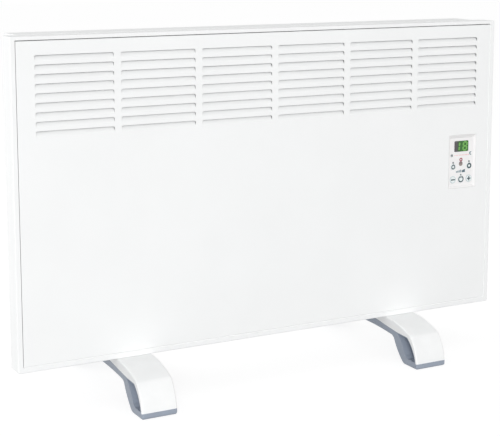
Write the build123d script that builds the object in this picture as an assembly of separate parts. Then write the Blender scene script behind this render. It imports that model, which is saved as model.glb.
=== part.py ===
from build123d import *
import os

os.makedirs("parts", exist_ok=True)

# Millimetres. X runs across the heater, Y runs back from the room side, Z is up.
# The origin is on the floor, in the middle of the box round the whole heater.

# Overall sizes
WIDTH = 785.0
HEIGHT = 450.0
DEPTH = 80.0
FOOT_HEIGHT = 62.5
FOOT_FRONT_REACH = 82.5
FOOT_MIDDLE = 64.0
FOOT_LENGTH = 2 * (FOOT_MIDDLE + FOOT_FRONT_REACH)
FRONT_Y = FOOT_FRONT_REACH - FOOT_LENGTH / 2

# Surround: four channel rails with a narrow face round the front panel
SURROUND_DEPTH = 33.0
RAIL_WALL = 1.2
FACE_SIDE = 7.0
FACE_TOP = 5.0
FACE_BOTTOM = 7.0
REAR_FLANGE = 28.5
FRONT_EDGE_RADIUS = 1.4
REAR_EDGE_RADIUS = 4.0
CORNER_RADIUS = 2.0
LIP_THICK = 1.2
LIP_HOLD = 2.5
LIP_GAP = 0.1
ANGLE_LEG = 45.0
ANGLE_THICK = 2.0
ANGLE_DEPTH = 14.0

# Front panel: a shallow tray with pressed louvres
GROOVE = 1.1
PANEL_SET_BACK = 0.8
PANEL_THICK = 0.9
PANEL_RETURN = 12.0
PANEL_EDGE_RADIUS = 0.8
PANEL_HALF = WIDTH / 2 - FACE_SIDE - GROOVE
PANEL_LOW = FACE_BOTTOM + GROOVE
PANEL_HIGH = HEIGHT - FACE_TOP - GROOVE

LOUVRE_ROWS = 9
LOUVRE_COLUMNS = 6
LOUVRE_PITCH_X = 121.5
LOUVRE_LENGTH = 111.5
LOUVRE_PITCH_Z = 12.5
LOUVRE_FIRST_TOP = 25.0
LOUVRE_OPENING = 7.4
LOUVRE_CORNER = 2.5
LOUVRE_RISE = 6.6
LOUVRE_DEPTH = 4.0

CLIP_FRONT = 6.0
CLIP_BACK = 12.0
CLIP_SHEET = 0.8
CLIP_LENGTH = 18.0
CLIP_HEIGHTS = (120.0, 330.0)

# Rear casing
CASING_INSET = 19.0
SHEET = 0.8
CASING_HALF = WIDTH / 2 - CASING_INSET
CASING_FLANGE = 9.0
LEVEL_FLANGE = 12.0
BACK_RETURN = 12.0
BEAD_R = 3.0
BEAD_CUT = 1.5
BEAD_HALF = 270.0
BEAD_HEIGHTS = (162.0, 225.0, 288.0)
SIDE_SCREW_HEIGHTS = (45.0, 225.0, 405.0)
FLANGE_SCREW_HEIGHTS = (60.0, 225.0, 390.0)
FLANGE_SCREW_ACROSS = (110.0, 300.0)
INLET_ROWS = 3
INLET_COLUMNS = 18
INLET_LENGTH = 28.0
INLET_WIDTH = 5.0
INLET_PITCH_X = 38.0
INLET_PITCH_Y = 9.0
INLET_MIDDLE = 57.0
INLET_CLEAR_OF_FOOT = 36.0

# Wall fixing inserts in the back panel
INSERT_SPACING_X = 500.0
INSERT_SPACING_Z = 280.0
INSERT_LOW = 90.0
INSERT_BORE_R = 2.5
INSERT_BODY_R = 4.5
INSERT_HEAD_R = 6.5
INSERT_HEAD_THICK = 1.0
INSERT_LENGTH = 10.0

# Supply cord entry
GLAND_X = 335.0
GLAND_Z = 42.0
GLAND_BORE_R = 3.8
GLAND_BODY_R = 8.0
GLAND_HEAD_R = 11.0
GLAND_HEAD_THICK = 4.0
GLAND_NUT_R = 10.5
GLAND_NUT_THICK = 5.0
GLAND_INSIDE = 12.0
GLAND_RIM_RADIUS = 1.5

# Heating element
ELEMENT_X = -35.0
ELEMENT_D = 42.0
ELEMENT_Z = 78.0
FIN_HALF_LENGTH = 260.0
FIN_BOSS_R = 8.0
FIN_THICK = 1.8
FIN_RADII = (31.0, 25.0, 23.0, 25.0)
FIN_COUNT = 8
ROD_R = 4.0
ROD_OVERHANG = 34.0
STUD_R = 2.0
STUD_LENGTH = 12.0
BUSH_R = 9.0
BUSH_HALF = 7.0
BUSH_FLANGE_R = 12.5
BUSH_FLANGE_THICK = 3.0
BRACKET_OFFSET = 276.0
BRACKET_SHEET = 1.5
BRACKET_FRONT = 24.0
BRACKET_NECK = 36.0
BRACKET_NECK_TOP = 52.0
BRACKET_BACK = 60.0
BRACKET_TOP = 104.0
BRACKET_FOOT = 16.0

# Heat shield and compartment wall
SHIELD_SHEET = 0.5
SHIELD_D = 70.0
SHIELD_LEFT = -352.0
SHIELD_RIGHT = 286.0
SHIELD_LOW = 16.0
SHIELD_BEND = 380.0
SHIELD_TOP = 440.0
SHIELD_TOP_D = 38.0
SHIELD_HOLE_GAP = 2.5
WALL_X = 292.0
WALL_FRONT = 36.0
WALL_TAB = 12.0
WALL_TAB_HEIGHT = 30.0
WALL_TAB_LOWS = (150.0, 300.0)
WIRE_PASS_HIGH = (52.0, 160.0, 8.0)
WIRE_PASS_LOW = (59.0, 13.2, 6.0)
CUTOUT_X = 150.0
CUTOUT_Z = 150.0
CUTOUT_R = 7.5
CUTOUT_HALF_WIDTH = 13.0
CUTOUT_HALF_HEIGHT = 8.0
CUTOUT_BODY = 10.0
CUTOUT_TAB = 8.0
CUTOUT_TAB_OFFSET = 4.0
CUTOUT_TAB_HALF = 3.1
CUTOUT_TAB_THICK = 1.6

# Control unit at the right of the panel
CONTROL_X = 336.5
PLATE_WIDTH = 46.0
PLATE_HEIGHT = 76.0
PLATE_Z = 230.5
BEZEL_SIDE = 3.0
BEZEL_TOP = 5.0
BEZEL_BOTTOM = 3.0
BEZEL_DEPTH = 3.0
BEZEL_GAP = 0.25
HOUSING_LIP_THICK = 2.0
HOUSING_LIP = 5.0
HOUSING_BACK = 44.0
PLATE_THICK = 1.4
PLATE_GAP = 0.1
BOARD_THICK = 1.6
BOARD_D = 12.0
POWER_BOARD_D = 26.0
BOARD_EDGE = 2.0
POST_INSET = 4.0
POST_R = 2.6
POST_TAIL = 1.5
HOUSING_LEDGE = 1.5
BEZEL_FRONT_EDGE = 0.4
CONNECTOR_HALF = 14.0
CONNECTOR_LOW = 200.5
CONNECTOR_HIGH = 212.5
CONNECTOR_OUT = 6.0
COVER_PLATE = 2.0
COVER_GAP = 0.2

RELAY_X = (CONTROL_X - 16.0, CONTROL_X + 3.0)
RELAY_Z = (PLATE_Z + 4.0, PLATE_Z + 20.0)
RELAY_HEIGHT = 14.0
CAPACITOR_X = CONTROL_X + 11.0
CAPACITOR_Z = PLATE_Z + 12.0
CAPACITOR_R = 5.5
CAPACITOR_HEIGHT = 13.0
RIBBON_HALF = 6.0
RIBBON_THICK = 1.0
HEADER_HALF = 8.0
HEADER_HEIGHT = 5.0
HEADER_DEPTH = 3.0

DISPLAY_WIDTH = 26.9
DISPLAY_HEIGHT = 16.7
DISPLAY_Z = 255.2
DISPLAY_GAP = 0.2
DISPLAY_CORNER = 1.4
DISPLAY_RIM = 1.2
DISPLAY_RIM_THICK = 0.8

KEY_OFFSET_X = 15.4
KEY_UPPER_Z = 223.3
KEY_LOWER_Z = 203.0
KEY_R = 4.7
POWER_KEY_R = 5.5
KEY_PROUD = 0.7
KEY_GAP = 0.25
KEY_FLANGE = 0.9
KEY_FLANGE_THICK = 0.8
KEY_EDGE_RADIUS = 0.35
KEY_STEM_R = 1.6
KEY_TRAVEL = 0.8
SWITCH_SIZE = 6.2
SWITCH_THICK = 3.4
PLUNGER_R = 1.3
PLUNGER_GAP = 0.2
PLUNGER_PROUD = 1.2
PLUNGER_FLOOR = 0.3
SWITCH_FLOOR = 0.2
KEYS = {
    "key_left": (-KEY_OFFSET_X, KEY_UPPER_Z, KEY_R),
    "key_right": (KEY_OFFSET_X, KEY_UPPER_Z, KEY_R),
    "key_minus": (-KEY_OFFSET_X, KEY_LOWER_Z, KEY_R),
    "key_power": (0.0, KEY_LOWER_Z, POWER_KEY_R),
    "key_plus": (KEY_OFFSET_X, KEY_LOWER_Z, KEY_R),
}

# Feet. Points are (d, z) on the front half; the rear half mirrors them about FOOT_MIDDLE,
# but for its heel.
FOOT_SPACING = 223.5
FOOT_WIDTH = 52.5
SOLE_TOP = -54.0
COVER_START = (6.0, 0.0)
SHOULDER = (-64.5, -15.0)
SHIN_MIDDLE = (-76.3, -33.4)
SHIN_END = (-FOOT_FRONT_REACH, -FOOT_HEIGHT)
SHOULDER_RADIUS = 12.0
COVER_EDGE_RADIUS = 2.2
COVER_UNDER = [(27.0, -10.0), (-4.0, -14.5), (-30.0, -17.5), (-56.0, -18.7)]
COVER_SHIN_MIDDLE = (-71.0, -34.3)
COVER_TOE = (-79.3, SOLE_TOP)
SOLE_TIP_RADIUS = 3.5
LEG_EDGE_RADIUS = 2.8
HEEL_LOW = (-46.5, -FOOT_HEIGHT)
HEEL_MIDDLE = (-31.3, -47.0)
HEEL_HIGH = (-18.3, -26.2)
REAR_HEEL_OUT = 8.0
LEG_ARCH_TOP = (FOOT_MIDDLE, -20.8)
HEEL_LOW_RADIUS = 12.0
HEEL_HIGH_RADIUS = 9.0
RECESS_TOP = (-30.5, -18.6)
RECESS_REAR_MIDDLE = (-43.0, -32.0)
RECESS_REAR_LOW = (-51.5, -47.0)
RECESS_LOW = (-58.0, -51.5)
RECESS_TOE = (-77.4, -52.4)
RECESS_SHIN_MIDDLE = (-70.0, -34.4)
RECESS_SHOULDER = (-56.0, -19.8)
RECESS_DEPTH = 16.0
RECESS_RADIUS = 5.0
TRIM_REACH = 20.0
FOOT_SCREW_R = 2.5
FOOT_SCREW_HEAD_R = 4.8
FOOT_SCREW_HEAD = 3.2
FOOT_SCREW_SEAT = -17.0
FOOT_SCREW_GAP = 0.4
FOOT_SCREW_D = (18.0, 62.0)
FOOT_SCREW_TOP = 9.0

# Small parts
SCREW_R = 1.6
SCREW_HEAD_R = 3.2
SCREW_HEAD = 1.8
SMALL_HEAD_R = 2.8
SCREW_LENGTH = 8.0
HOLE_GAP = 0.05
WIRE_R = 1.3
WIRE_BEND = 12.0
WIRE_BEND_SHARE = 0.45
OVERCUT = 1.0

BLOCK_X = 335.0
BLOCK_Z = 92.0
BLOCK_HALF_WIDTH = 17.0
BLOCK_HALF_HEIGHT = 11.0
BLOCK_DEPTH = 15.0
BLOCK_PITCH = 10.0
BLOCK_SCREW_R = 2.4
BLOCK_SCREW_DEPTH = 8.0

SENSOR_X = 335.0
SENSOR_D = 56.0
SENSOR_Z = 11.0
SENSOR_R = 3.0
SENSOR_HALF = 13.0
SENSOR_CLIP_HALF = 10.0
SENSOR_CLIP_SHEET = 2.0
SENSOR_CLIP_DEPTH = 12.0
SENSOR_CLIP_TOP = 16.0


def y_at(d):
    """Turn a distance back from the front face into a Y value."""
    return FRONT_Y + d


def z_at(z):
    """Turn a height above the panel's lower edge into a Z value."""
    return FOOT_HEIGHT + z


def block(x0, x1, d0, d1, z0, z1):
    """A box given by its limits, with d back from the front face and z up from the lower edge."""
    middle = Pos((x0 + x1) / 2, y_at((d0 + d1) / 2), z_at((z0 + z1) / 2))
    return middle * Box(abs(x1 - x0), abs(d1 - d0), abs(z1 - z0))


def round_y(x, z, radius, d0, d1):
    """A cylinder that runs front to back."""
    middle = Pos(x, y_at((d0 + d1) / 2), z_at(z))
    return middle * Rot(90, 0, 0) * Cylinder(radius, abs(d1 - d0))


def round_x(d, z, radius, x0, x1):
    """A cylinder that runs across."""
    middle = Pos((x0 + x1) / 2, y_at(d), z_at(z))
    return middle * Rot(0, 90, 0) * Cylinder(radius, abs(x1 - x0))


def round_z(x, d, radius, z0, z1):
    """An upright cylinder."""
    middle = Pos(x, y_at(d), z_at((z0 + z1) / 2))
    return middle * Cylinder(radius, abs(z1 - z0))


def hole_y(x, z, radius, d0, d1):
    """A cutter for a hole through a sheet that lies between d0 and d1."""
    return round_y(x, z, radius, d0 - OVERCUT, d1 + OVERCUT)


def hole_x(d, z, radius, x0, x1):
    """A cutter for a hole through a sheet that lies between x0 and x1."""
    return round_x(d, z, radius, min(x0, x1) - OVERCUT, max(x0, x1) + OVERCUT)


def hole_z(x, d, radius, z0, z1):
    """A cutter for a hole through a sheet that lies between z0 and z1."""
    return round_z(x, d, radius, z0 - OVERCUT, z1 + OVERCUT)


def side_profile(points, x0, x1):
    """Extrude a closed outline of (d, z) points from x0 to x1."""
    corners = [(x0, y_at(d), z_at(z)) for d, z in points]
    face = Face(Wire.make_polygon(corners, close=True))
    return extrude(face, amount=x1 - x0, dir=(1, 0, 0))


def front_profile(points, d0, d1):
    """Extrude a closed outline of (x, z) points from d0 to d1."""
    corners = [(x, y_at(d0), z_at(z)) for x, z in points]
    face = Face(Wire.make_polygon(corners, close=True))
    return extrude(face, amount=d1 - d0, dir=(0, 1, 0))


def x_edges_near(solid, spots):
    """The edges along X that pass nearest to the given (d, z) spots."""
    found = []
    for d, z in spots:
        spot = Vector(0, y_at(d), z_at(z))
        edges = solid.edges().filter_by(Axis.X)
        edges = edges.sort_by(lambda edge: (Vector(0, edge.center().Y, edge.center().Z) - spot).length)
        found.append(edges[0])
    return found


def write(shape, name):
    export_step(shape, "parts/" + name + ".step")


def write_group(shapes, name):
    """Like pieces that share one node stay separate solids."""
    write(Compound(children=shapes), name)


# ---------------------------------------------------------------- surround
def flange_screw_places():
    """Where the surround's rear flange is screwed to the casing's front flange."""
    reach = CASING_HALF - CASING_FLANGE / 2 - SHEET
    edge = LEVEL_FLANGE / 2 + SHEET
    places = []
    for side in (-1, 1):
        for z in FLANGE_SCREW_HEIGHTS:
            places.append((side * reach, z))
        for x in FLANGE_SCREW_ACROSS:
            places.append((side * x, HEIGHT - edge))
            places.append((side * x, edge))
    return places


def surround_ring():
    """The whole surround before its mitred corners are cut."""
    half = WIDTH / 2
    back = SURROUND_DEPTH - RAIL_WALL
    ring = block(-half, half, 0, SURROUND_DEPTH, 0, HEIGHT)
    ring = fillet(ring.edges().filter_by(Axis.Y), CORNER_RADIUS)
    ring = fillet(ring.faces().sort_by(Axis.Y)[0].edges(), FRONT_EDGE_RADIUS)
    ring = fillet(ring.faces().sort_by(Axis.Y)[-1].edges(), REAR_EDGE_RADIUS)
    ring -= block(-half + FACE_SIDE, half - FACE_SIDE, -OVERCUT, back, FACE_BOTTOM, HEIGHT - FACE_TOP)
    channel = block(-half + RAIL_WALL, half - RAIL_WALL, RAIL_WALL, back, RAIL_WALL, HEIGHT - RAIL_WALL)
    ring -= fillet(channel.faces().sort_by(Axis.Y)[-1].edges(), REAR_EDGE_RADIUS - RAIL_WALL)
    ring -= block(-half + REAR_FLANGE, half - REAR_FLANGE, RAIL_WALL, SURROUND_DEPTH + OVERCUT,
                  REAR_FLANGE, HEIGHT - REAR_FLANGE)
    for x, z in flange_screw_places():
        ring -= hole_y(x, z, SCREW_R + HOLE_GAP, back, SURROUND_DEPTH)
    for side in (-1, 1):
        ring -= hole_z(side * FOOT_SPACING, FOOT_SCREW_D[0], FOOT_SCREW_R + HOLE_GAP, 0, RAIL_WALL)
    return ring + groove_lip()


def groove_lip():
    """Lip behind the lower and the right rail's face, which closes the groove there."""
    half = WIDTH / 2
    left = -half + RAIL_WALL
    right = half - FACE_SIDE + LIP_HOLD
    high = HEIGHT - RAIL_WALL
    back = RAIL_WALL + LIP_THICK
    lip = block(left, right, RAIL_WALL, back, FACE_BOTTOM - LIP_HOLD, high)
    lip -= block(left - OVERCUT, PANEL_HALF + LIP_GAP, 0, back + OVERCUT, PANEL_LOW - LIP_GAP, high + OVERCUT)
    return lip


def make_surround():
    """Four rails that meet at mitred corners."""
    ring = surround_ring()
    half = WIDTH / 2
    middle = HEIGHT / 2
    inner = half - middle
    zones = {
        "surround_top": [(-half, HEIGHT), (half, HEIGHT), (inner, middle), (-inner, middle)],
        "surround_bottom": [(-half, 0), (half, 0), (inner, middle), (-inner, middle)],
        "surround_left": [(-half, 0), (-half, HEIGHT), (-inner, middle)],
        "surround_right": [(half, 0), (half, HEIGHT), (inner, middle)],
    }
    for name, outline in zones.items():
        zone = front_profile(outline, -OVERCUT, SURROUND_DEPTH + OVERCUT)
        write(ring & zone, name)


def make_corner_angles():
    """Angle pieces inside the channel that join the rails at the mitres."""
    angles = []
    d1 = SURROUND_DEPTH - REAR_EDGE_RADIUS
    d0 = d1 - ANGLE_DEPTH
    for side in (-1, 1):
        outer = side * (WIDTH / 2 - RAIL_WALL)
        inner = outer - side * ANGLE_THICK
        tip = outer - side * ANGLE_LEG
        for corner, up in ((RAIL_WALL, 1), (HEIGHT - RAIL_WALL, -1)):
            end = corner + up * ANGLE_LEG
            step = corner + up * ANGLE_THICK
            outline = [(outer, corner), (outer, end), (inner, end), (inner, step), (tip, step), (tip, corner)]
            angles.append(front_profile(outline, d0, d1))
    write_group(angles, "corner_angles")


# ------------------------------------------------------------- front panel
def louvre_places():
    """The left end and the top of every louvre opening."""
    span = (LOUVRE_COLUMNS - 1) * LOUVRE_PITCH_X + LOUVRE_LENGTH
    places = []
    for row in range(LOUVRE_ROWS):
        for column in range(LOUVRE_COLUMNS):
            x = -span / 2 + column * LOUVRE_PITCH_X
            z = HEIGHT - LOUVRE_FIRST_TOP - row * LOUVRE_PITCH_Z
            places.append((x, z))
    return places


def louvre_opening():
    """A cutter for one opening, rounded at its upper corners, with its upper left corner at x = z = 0."""
    opening = block(0, LOUVRE_LENGTH, PANEL_SET_BACK - OVERCUT, PANEL_SET_BACK + PANEL_THICK + OVERCUT,
                    -LOUVRE_OPENING, 0)
    upper = opening.edges().filter_by(Axis.Y).sort_by(Axis.Z)[-2:]
    return fillet(upper, LOUVRE_CORNER)


def louvre_blade(x, top):
    """A blade bent inwards from the lower edge of its opening."""
    low = top - LOUVRE_OPENING
    front = PANEL_SET_BACK
    length = (LOUVRE_RISE ** 2 + LOUVRE_DEPTH ** 2) ** 0.5
    shift_d = PANEL_THICK * LOUVRE_RISE / length
    shift_z = PANEL_THICK * LOUVRE_DEPTH / length
    root = low - PANEL_THICK / 2
    outline = [
        (front, root),
        (front, low),
        (front + LOUVRE_DEPTH, low + LOUVRE_RISE),
        (front + LOUVRE_DEPTH + shift_d, low + LOUVRE_RISE - shift_z),
        (front + PANEL_THICK, root),
    ]
    return side_profile(outline, x, x + LOUVRE_LENGTH)


def make_front_panel():
    front = PANEL_SET_BACK
    skin = front + PANEL_THICK
    rear = front + PANEL_RETURN
    panel = block(-PANEL_HALF, PANEL_HALF, front, rear, PANEL_LOW, PANEL_HIGH)
    panel = fillet(panel.faces().sort_by(Axis.Y)[0].edges(), PANEL_EDGE_RADIUS)
    inner = PANEL_HALF - PANEL_THICK
    panel -= block(-inner, inner, skin, rear + OVERCUT, PANEL_LOW + PANEL_THICK, PANEL_HIGH - PANEL_THICK)
    left, right, low, high = bezel_limits()
    cutters = [block(left - BEZEL_GAP, right + BEZEL_GAP, front - OVERCUT, skin + OVERCUT,
                     low - BEZEL_GAP, high + BEZEL_GAP)]
    opening = louvre_opening()
    blades = []
    for x, top in louvre_places():
        cutters.append(Pos(x, 0, top) * opening)
        blades.append(louvre_blade(x, top))
    panel = panel.cut(*cutters)
    panel = panel.fuse(*blades)
    write(panel, "front_panel")


def make_panel_clips():
    """Spring clips between the panel's returns and the rails."""
    clips = []
    for side in (-1, 1):
        a = side * PANEL_HALF
        b = side * (WIDTH / 2 - RAIL_WALL)
        inner_a = a + side * CLIP_SHEET
        inner_b = b - side * CLIP_SHEET
        bend = CLIP_FRONT + CLIP_SHEET
        section = [(a, CLIP_BACK), (a, CLIP_FRONT), (b, CLIP_FRONT), (b, CLIP_BACK),
                   (inner_b, CLIP_BACK), (inner_b, bend), (inner_a, bend), (inner_a, CLIP_BACK)]
        for z in CLIP_HEIGHTS:
            corners = [(x, y_at(d), z_at(z)) for x, d in section]
            face = Face(Wire.make_polygon(corners, close=True))
            clips.append(extrude(face, amount=CLIP_LENGTH, dir=(0, 0, 1)))
    write_group(clips, "panel_clips")


# ------------------------------------------------------------- rear casing
def make_casing_sides():
    front = SURROUND_DEPTH
    for name, side in (("casing_side_left", -1), ("casing_side_right", 1)):
        outer = side * CASING_HALF
        inner = outer - side * SHEET
        tip = outer - side * CASING_FLANGE
        plate = block(outer, inner, front, DEPTH, SHEET, HEIGHT - SHEET)
        plate += block(outer, tip, front, front + SHEET, SHEET, HEIGHT - SHEET)
        for x, z in flange_screw_places():
            if x * side > CASING_HALF - CASING_FLANGE:
                plate -= hole_y(x, z, SCREW_R + HOLE_GAP, front, front + SHEET)
        for z in SIDE_SCREW_HEIGHTS:
            plate -= hole_x(DEPTH - BACK_RETURN / 2, z, SCREW_R + HOLE_GAP, outer, inner)
        write(plate, name)


def make_casing_top():
    front = SURROUND_DEPTH
    low = HEIGHT - LEVEL_FLANGE
    half = CASING_HALF - CASING_FLANGE
    plate = block(-CASING_HALF, CASING_HALF, front, DEPTH, HEIGHT - SHEET, HEIGHT)
    plate += block(-half, half, front, front + SHEET, low, HEIGHT - SHEET)
    for x, z in flange_screw_places():
        if z > low and abs(x) < half:
            plate -= hole_y(x, z, SCREW_R + HOLE_GAP, front, front + SHEET)
    write(plate, "casing_top")


def inlet_slots():
    """Cutters for the air slots, left out where the feet cross."""
    slots = []
    outline = SlotOverall(INLET_LENGTH, INLET_WIDTH)
    for row in range(INLET_ROWS):
        d = INLET_MIDDLE + (row - (INLET_ROWS - 1) / 2) * INLET_PITCH_Y
        for column in range(INLET_COLUMNS):
            x = (column - (INLET_COLUMNS - 1) / 2) * INLET_PITCH_X
            if abs(abs(x) - FOOT_SPACING) > INLET_CLEAR_OF_FOOT:
                place = Pos(x, y_at(d), z_at(-OVERCUT))
                slots.append(place * extrude(outline, amount=SHEET + 2 * OVERCUT))
    return slots


def make_inlet_grille():
    """The casing's underside, with the slots that let cool air in."""
    front = SURROUND_DEPTH
    half = CASING_HALF - CASING_FLANGE
    plate = block(-CASING_HALF, CASING_HALF, front, DEPTH, 0, SHEET)
    plate += block(-half, half, front, front + SHEET, SHEET, LEVEL_FLANGE)
    plate = plate.cut(*inlet_slots())
    for x, z in flange_screw_places():
        if z < LEVEL_FLANGE and abs(x) < half:
            plate -= hole_y(x, z, SCREW_R + HOLE_GAP, front, front + SHEET)
    for side in (-1, 1):
        plate -= hole_z(side * FOOT_SPACING, FOOT_SCREW_D[1], FOOT_SCREW_R + HOLE_GAP, 0, SHEET)
    write(plate, "inlet_grille")


def insert_places():
    """The four corners of the wall fixing pattern."""
    places = []
    for side in (-1, 1):
        for z in (INSERT_LOW, INSERT_LOW + INSERT_SPACING_Z):
            places.append((side * INSERT_SPACING_X / 2, z))
    return places


def bead_form(z, radius):
    """A long round-ended form for a stiffening bead."""
    d = DEPTH + BEAD_R - BEAD_CUT
    form = round_x(d, z, radius, -BEAD_HALF, BEAD_HALF)
    for side in (-1, 1):
        form += Pos(side * BEAD_HALF, y_at(d), z_at(z)) * Sphere(radius)
    return form


def make_back_panel():
    """A tray that slides inside the casing's sides, with its returns forward."""
    half = CASING_HALF - SHEET
    low = SHEET
    high = HEIGHT - SHEET
    skin = DEPTH - SHEET
    front = DEPTH - BACK_RETURN
    tray = block(-half, half, front, DEPTH, low, high)
    tray -= block(-half + SHEET, half - SHEET, front - OVERCUT, skin, low + SHEET, high - SHEET)
    inside = block(-half, half, front, DEPTH - SHEET / 2, low, high)
    for z in BEAD_HEIGHTS:
        tray += bead_form(z, BEAD_R + SHEET) & inside
        tray -= bead_form(z, BEAD_R)
    for x, z in insert_places():
        tray -= hole_y(x, z, INSERT_BODY_R + HOLE_GAP, skin, DEPTH)
    tray -= hole_y(GLAND_X, GLAND_Z, GLAND_BODY_R + HOLE_GAP, skin, DEPTH)
    for z in SIDE_SCREW_HEIGHTS:
        tray -= hole_x(DEPTH - BACK_RETURN / 2, z, SCREW_R + HOLE_GAP, -half, half)
    write(tray, "back_panel")


def make_wall_inserts():
    """Threaded inserts that a wall bracket is bolted to."""
    inserts = []
    for x, z in insert_places():
        insert = round_y(x, z, INSERT_BODY_R, DEPTH - INSERT_LENGTH, DEPTH)
        insert += round_y(x, z, INSERT_HEAD_R, DEPTH, DEPTH + INSERT_HEAD_THICK)
        insert -= hole_y(x, z, INSERT_BORE_R, DEPTH - INSERT_LENGTH, DEPTH + INSERT_HEAD_THICK)
        inserts.append(insert)
    write_group(inserts, "wall_inserts")


def make_casing_screws():
    """Screws through the casing's sides into the back panel's returns."""
    screws = []
    d = DEPTH - BACK_RETURN / 2
    for side in (-1, 1):
        outer = side * CASING_HALF
        for z in SIDE_SCREW_HEIGHTS:
            screw = round_x(d, z, SCREW_HEAD_R, outer, outer + side * SCREW_HEAD)
            screw += round_x(d, z, SCREW_R, outer, outer - side * SCREW_LENGTH)
            screws.append(screw)
    write_group(screws, "casing_screws")


def make_flange_screws():
    """Screws that hold the surround to the casing, hidden behind the front panel."""
    screws = []
    face = SURROUND_DEPTH - RAIL_WALL
    for x, z in flange_screw_places():
        screw = round_y(x, z, SMALL_HEAD_R, face - SCREW_HEAD, face)
        screw += round_y(x, z, SCREW_R, face, face + SCREW_LENGTH)
        screws.append(screw)
    write_group(screws, "flange_screws")


def make_cord_gland():
    inner = DEPTH - GLAND_INSIDE
    outer = DEPTH + GLAND_HEAD_THICK
    gland = round_y(GLAND_X, GLAND_Z, GLAND_BODY_R, inner, DEPTH)
    gland += round_y(GLAND_X, GLAND_Z, GLAND_HEAD_R, DEPTH, outer)
    gland = fillet(gland.faces().sort_by(Axis.Y)[-1].edges(), GLAND_RIM_RADIUS)
    gland -= hole_y(GLAND_X, GLAND_Z, GLAND_BORE_R, inner, outer)
    write(gland, "cord_gland")


def make_gland_nut():
    face = DEPTH - SHEET
    front = face - GLAND_NUT_THICK
    place = Pos(GLAND_X, y_at(face), z_at(GLAND_Z)) * Rot(90, 0, 0)
    nut = place * extrude(RegularPolygon(GLAND_NUT_R, 6), amount=GLAND_NUT_THICK)
    nut -= hole_y(GLAND_X, GLAND_Z, GLAND_BODY_R + HOLE_GAP, front, face)
    write(nut, "gland_nut")


# --------------------------------------------------------- heating element
def make_element_fins():
    """Aluminium extrusion with fins round a central boss."""
    x0 = ELEMENT_X - FIN_HALF_LENGTH
    x1 = ELEMENT_X + FIN_HALF_LENGTH
    centre = Pos(ELEMENT_X, y_at(ELEMENT_D), z_at(ELEMENT_Z))
    fins = round_x(ELEMENT_D, ELEMENT_Z, FIN_BOSS_R, x0, x1)
    for turn in range(FIN_COUNT):
        radius = FIN_RADII[turn % len(FIN_RADII)]
        fin = Pos(0, 0, radius / 2) * Box(2 * FIN_HALF_LENGTH, FIN_THICK, radius)
        fins += centre * Rot(turn * 360 / FIN_COUNT, 0, 0) * fin
    fins -= hole_x(ELEMENT_D, ELEMENT_Z, ROD_R + HOLE_GAP, x0, x1)
    write(fins, "element_fins")


def make_element_rod():
    """Sheathed rod through the fins, with a stud at each end for its wire."""
    reach = FIN_HALF_LENGTH + ROD_OVERHANG
    tip = reach + STUD_LENGTH
    rod = round_x(ELEMENT_D, ELEMENT_Z, ROD_R, ELEMENT_X - reach, ELEMENT_X + reach)
    rod += round_x(ELEMENT_D, ELEMENT_Z, STUD_R, ELEMENT_X - tip, ELEMENT_X + tip)
    write(rod, "element_rod")


def make_element_bushes():
    """Ceramic bushes that hold the rod in its brackets."""
    bushes = []
    for side in (-1, 1):
        middle = ELEMENT_X + side * BRACKET_OFFSET
        face = middle - side * BRACKET_SHEET / 2
        bush = round_x(ELEMENT_D, ELEMENT_Z, BUSH_R, middle - BUSH_HALF, middle + BUSH_HALF)
        bush += round_x(ELEMENT_D, ELEMENT_Z, BUSH_FLANGE_R, face, face - side * BUSH_FLANGE_THICK)
        bush -= hole_x(ELEMENT_D, ELEMENT_Z, ROD_R + HOLE_GAP, middle - BUSH_HALF, middle + BUSH_HALF)
        bushes.append(bush)
    write_group(bushes, "element_bushes")


def make_element_brackets():
    brackets = []
    for side in (-1, 1):
        middle = ELEMENT_X + side * BRACKET_OFFSET
        x0 = middle - BRACKET_SHEET / 2
        x1 = middle + BRACKET_SHEET / 2
        plate = block(x0, x1, BRACKET_NECK, BRACKET_BACK, SHEET, BRACKET_TOP)
        plate += block(x0, x1, BRACKET_FRONT, BRACKET_BACK, BRACKET_NECK_TOP, BRACKET_TOP)
        plate += block(middle, middle + side * BRACKET_FOOT, BRACKET_NECK, BRACKET_BACK,
                       SHEET, SHEET + BRACKET_SHEET)
        plate -= hole_x(ELEMENT_D, ELEMENT_Z, BUSH_R + HOLE_GAP, x0, x1)
        brackets.append(plate)
    write_group(brackets, "element_brackets")


def make_heat_shield():
    """Sheet behind the element; its top leans forward and turns the hot air to the louvres."""
    front = SHIELD_D
    back = SHIELD_D + SHIELD_SHEET
    rest = DEPTH - SHEET
    lip = SHIELD_LOW + SHIELD_SHEET
    outline = [
        (front, SHIELD_LOW), (front, SHIELD_BEND), (SHIELD_TOP_D, SHIELD_TOP),
        (SHIELD_TOP_D, SHIELD_TOP + SHIELD_SHEET), (back, SHIELD_BEND + SHIELD_SHEET / 2),
        (back, lip), (rest, lip), (rest, SHIELD_LOW),
    ]
    shield = side_profile(outline, SHIELD_LEFT, SHIELD_RIGHT)
    for x, z in insert_places():
        shield -= hole_y(x, z, INSERT_BODY_R + SHIELD_HOLE_GAP, front, back)
    write(shield, "heat_shield")


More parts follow.
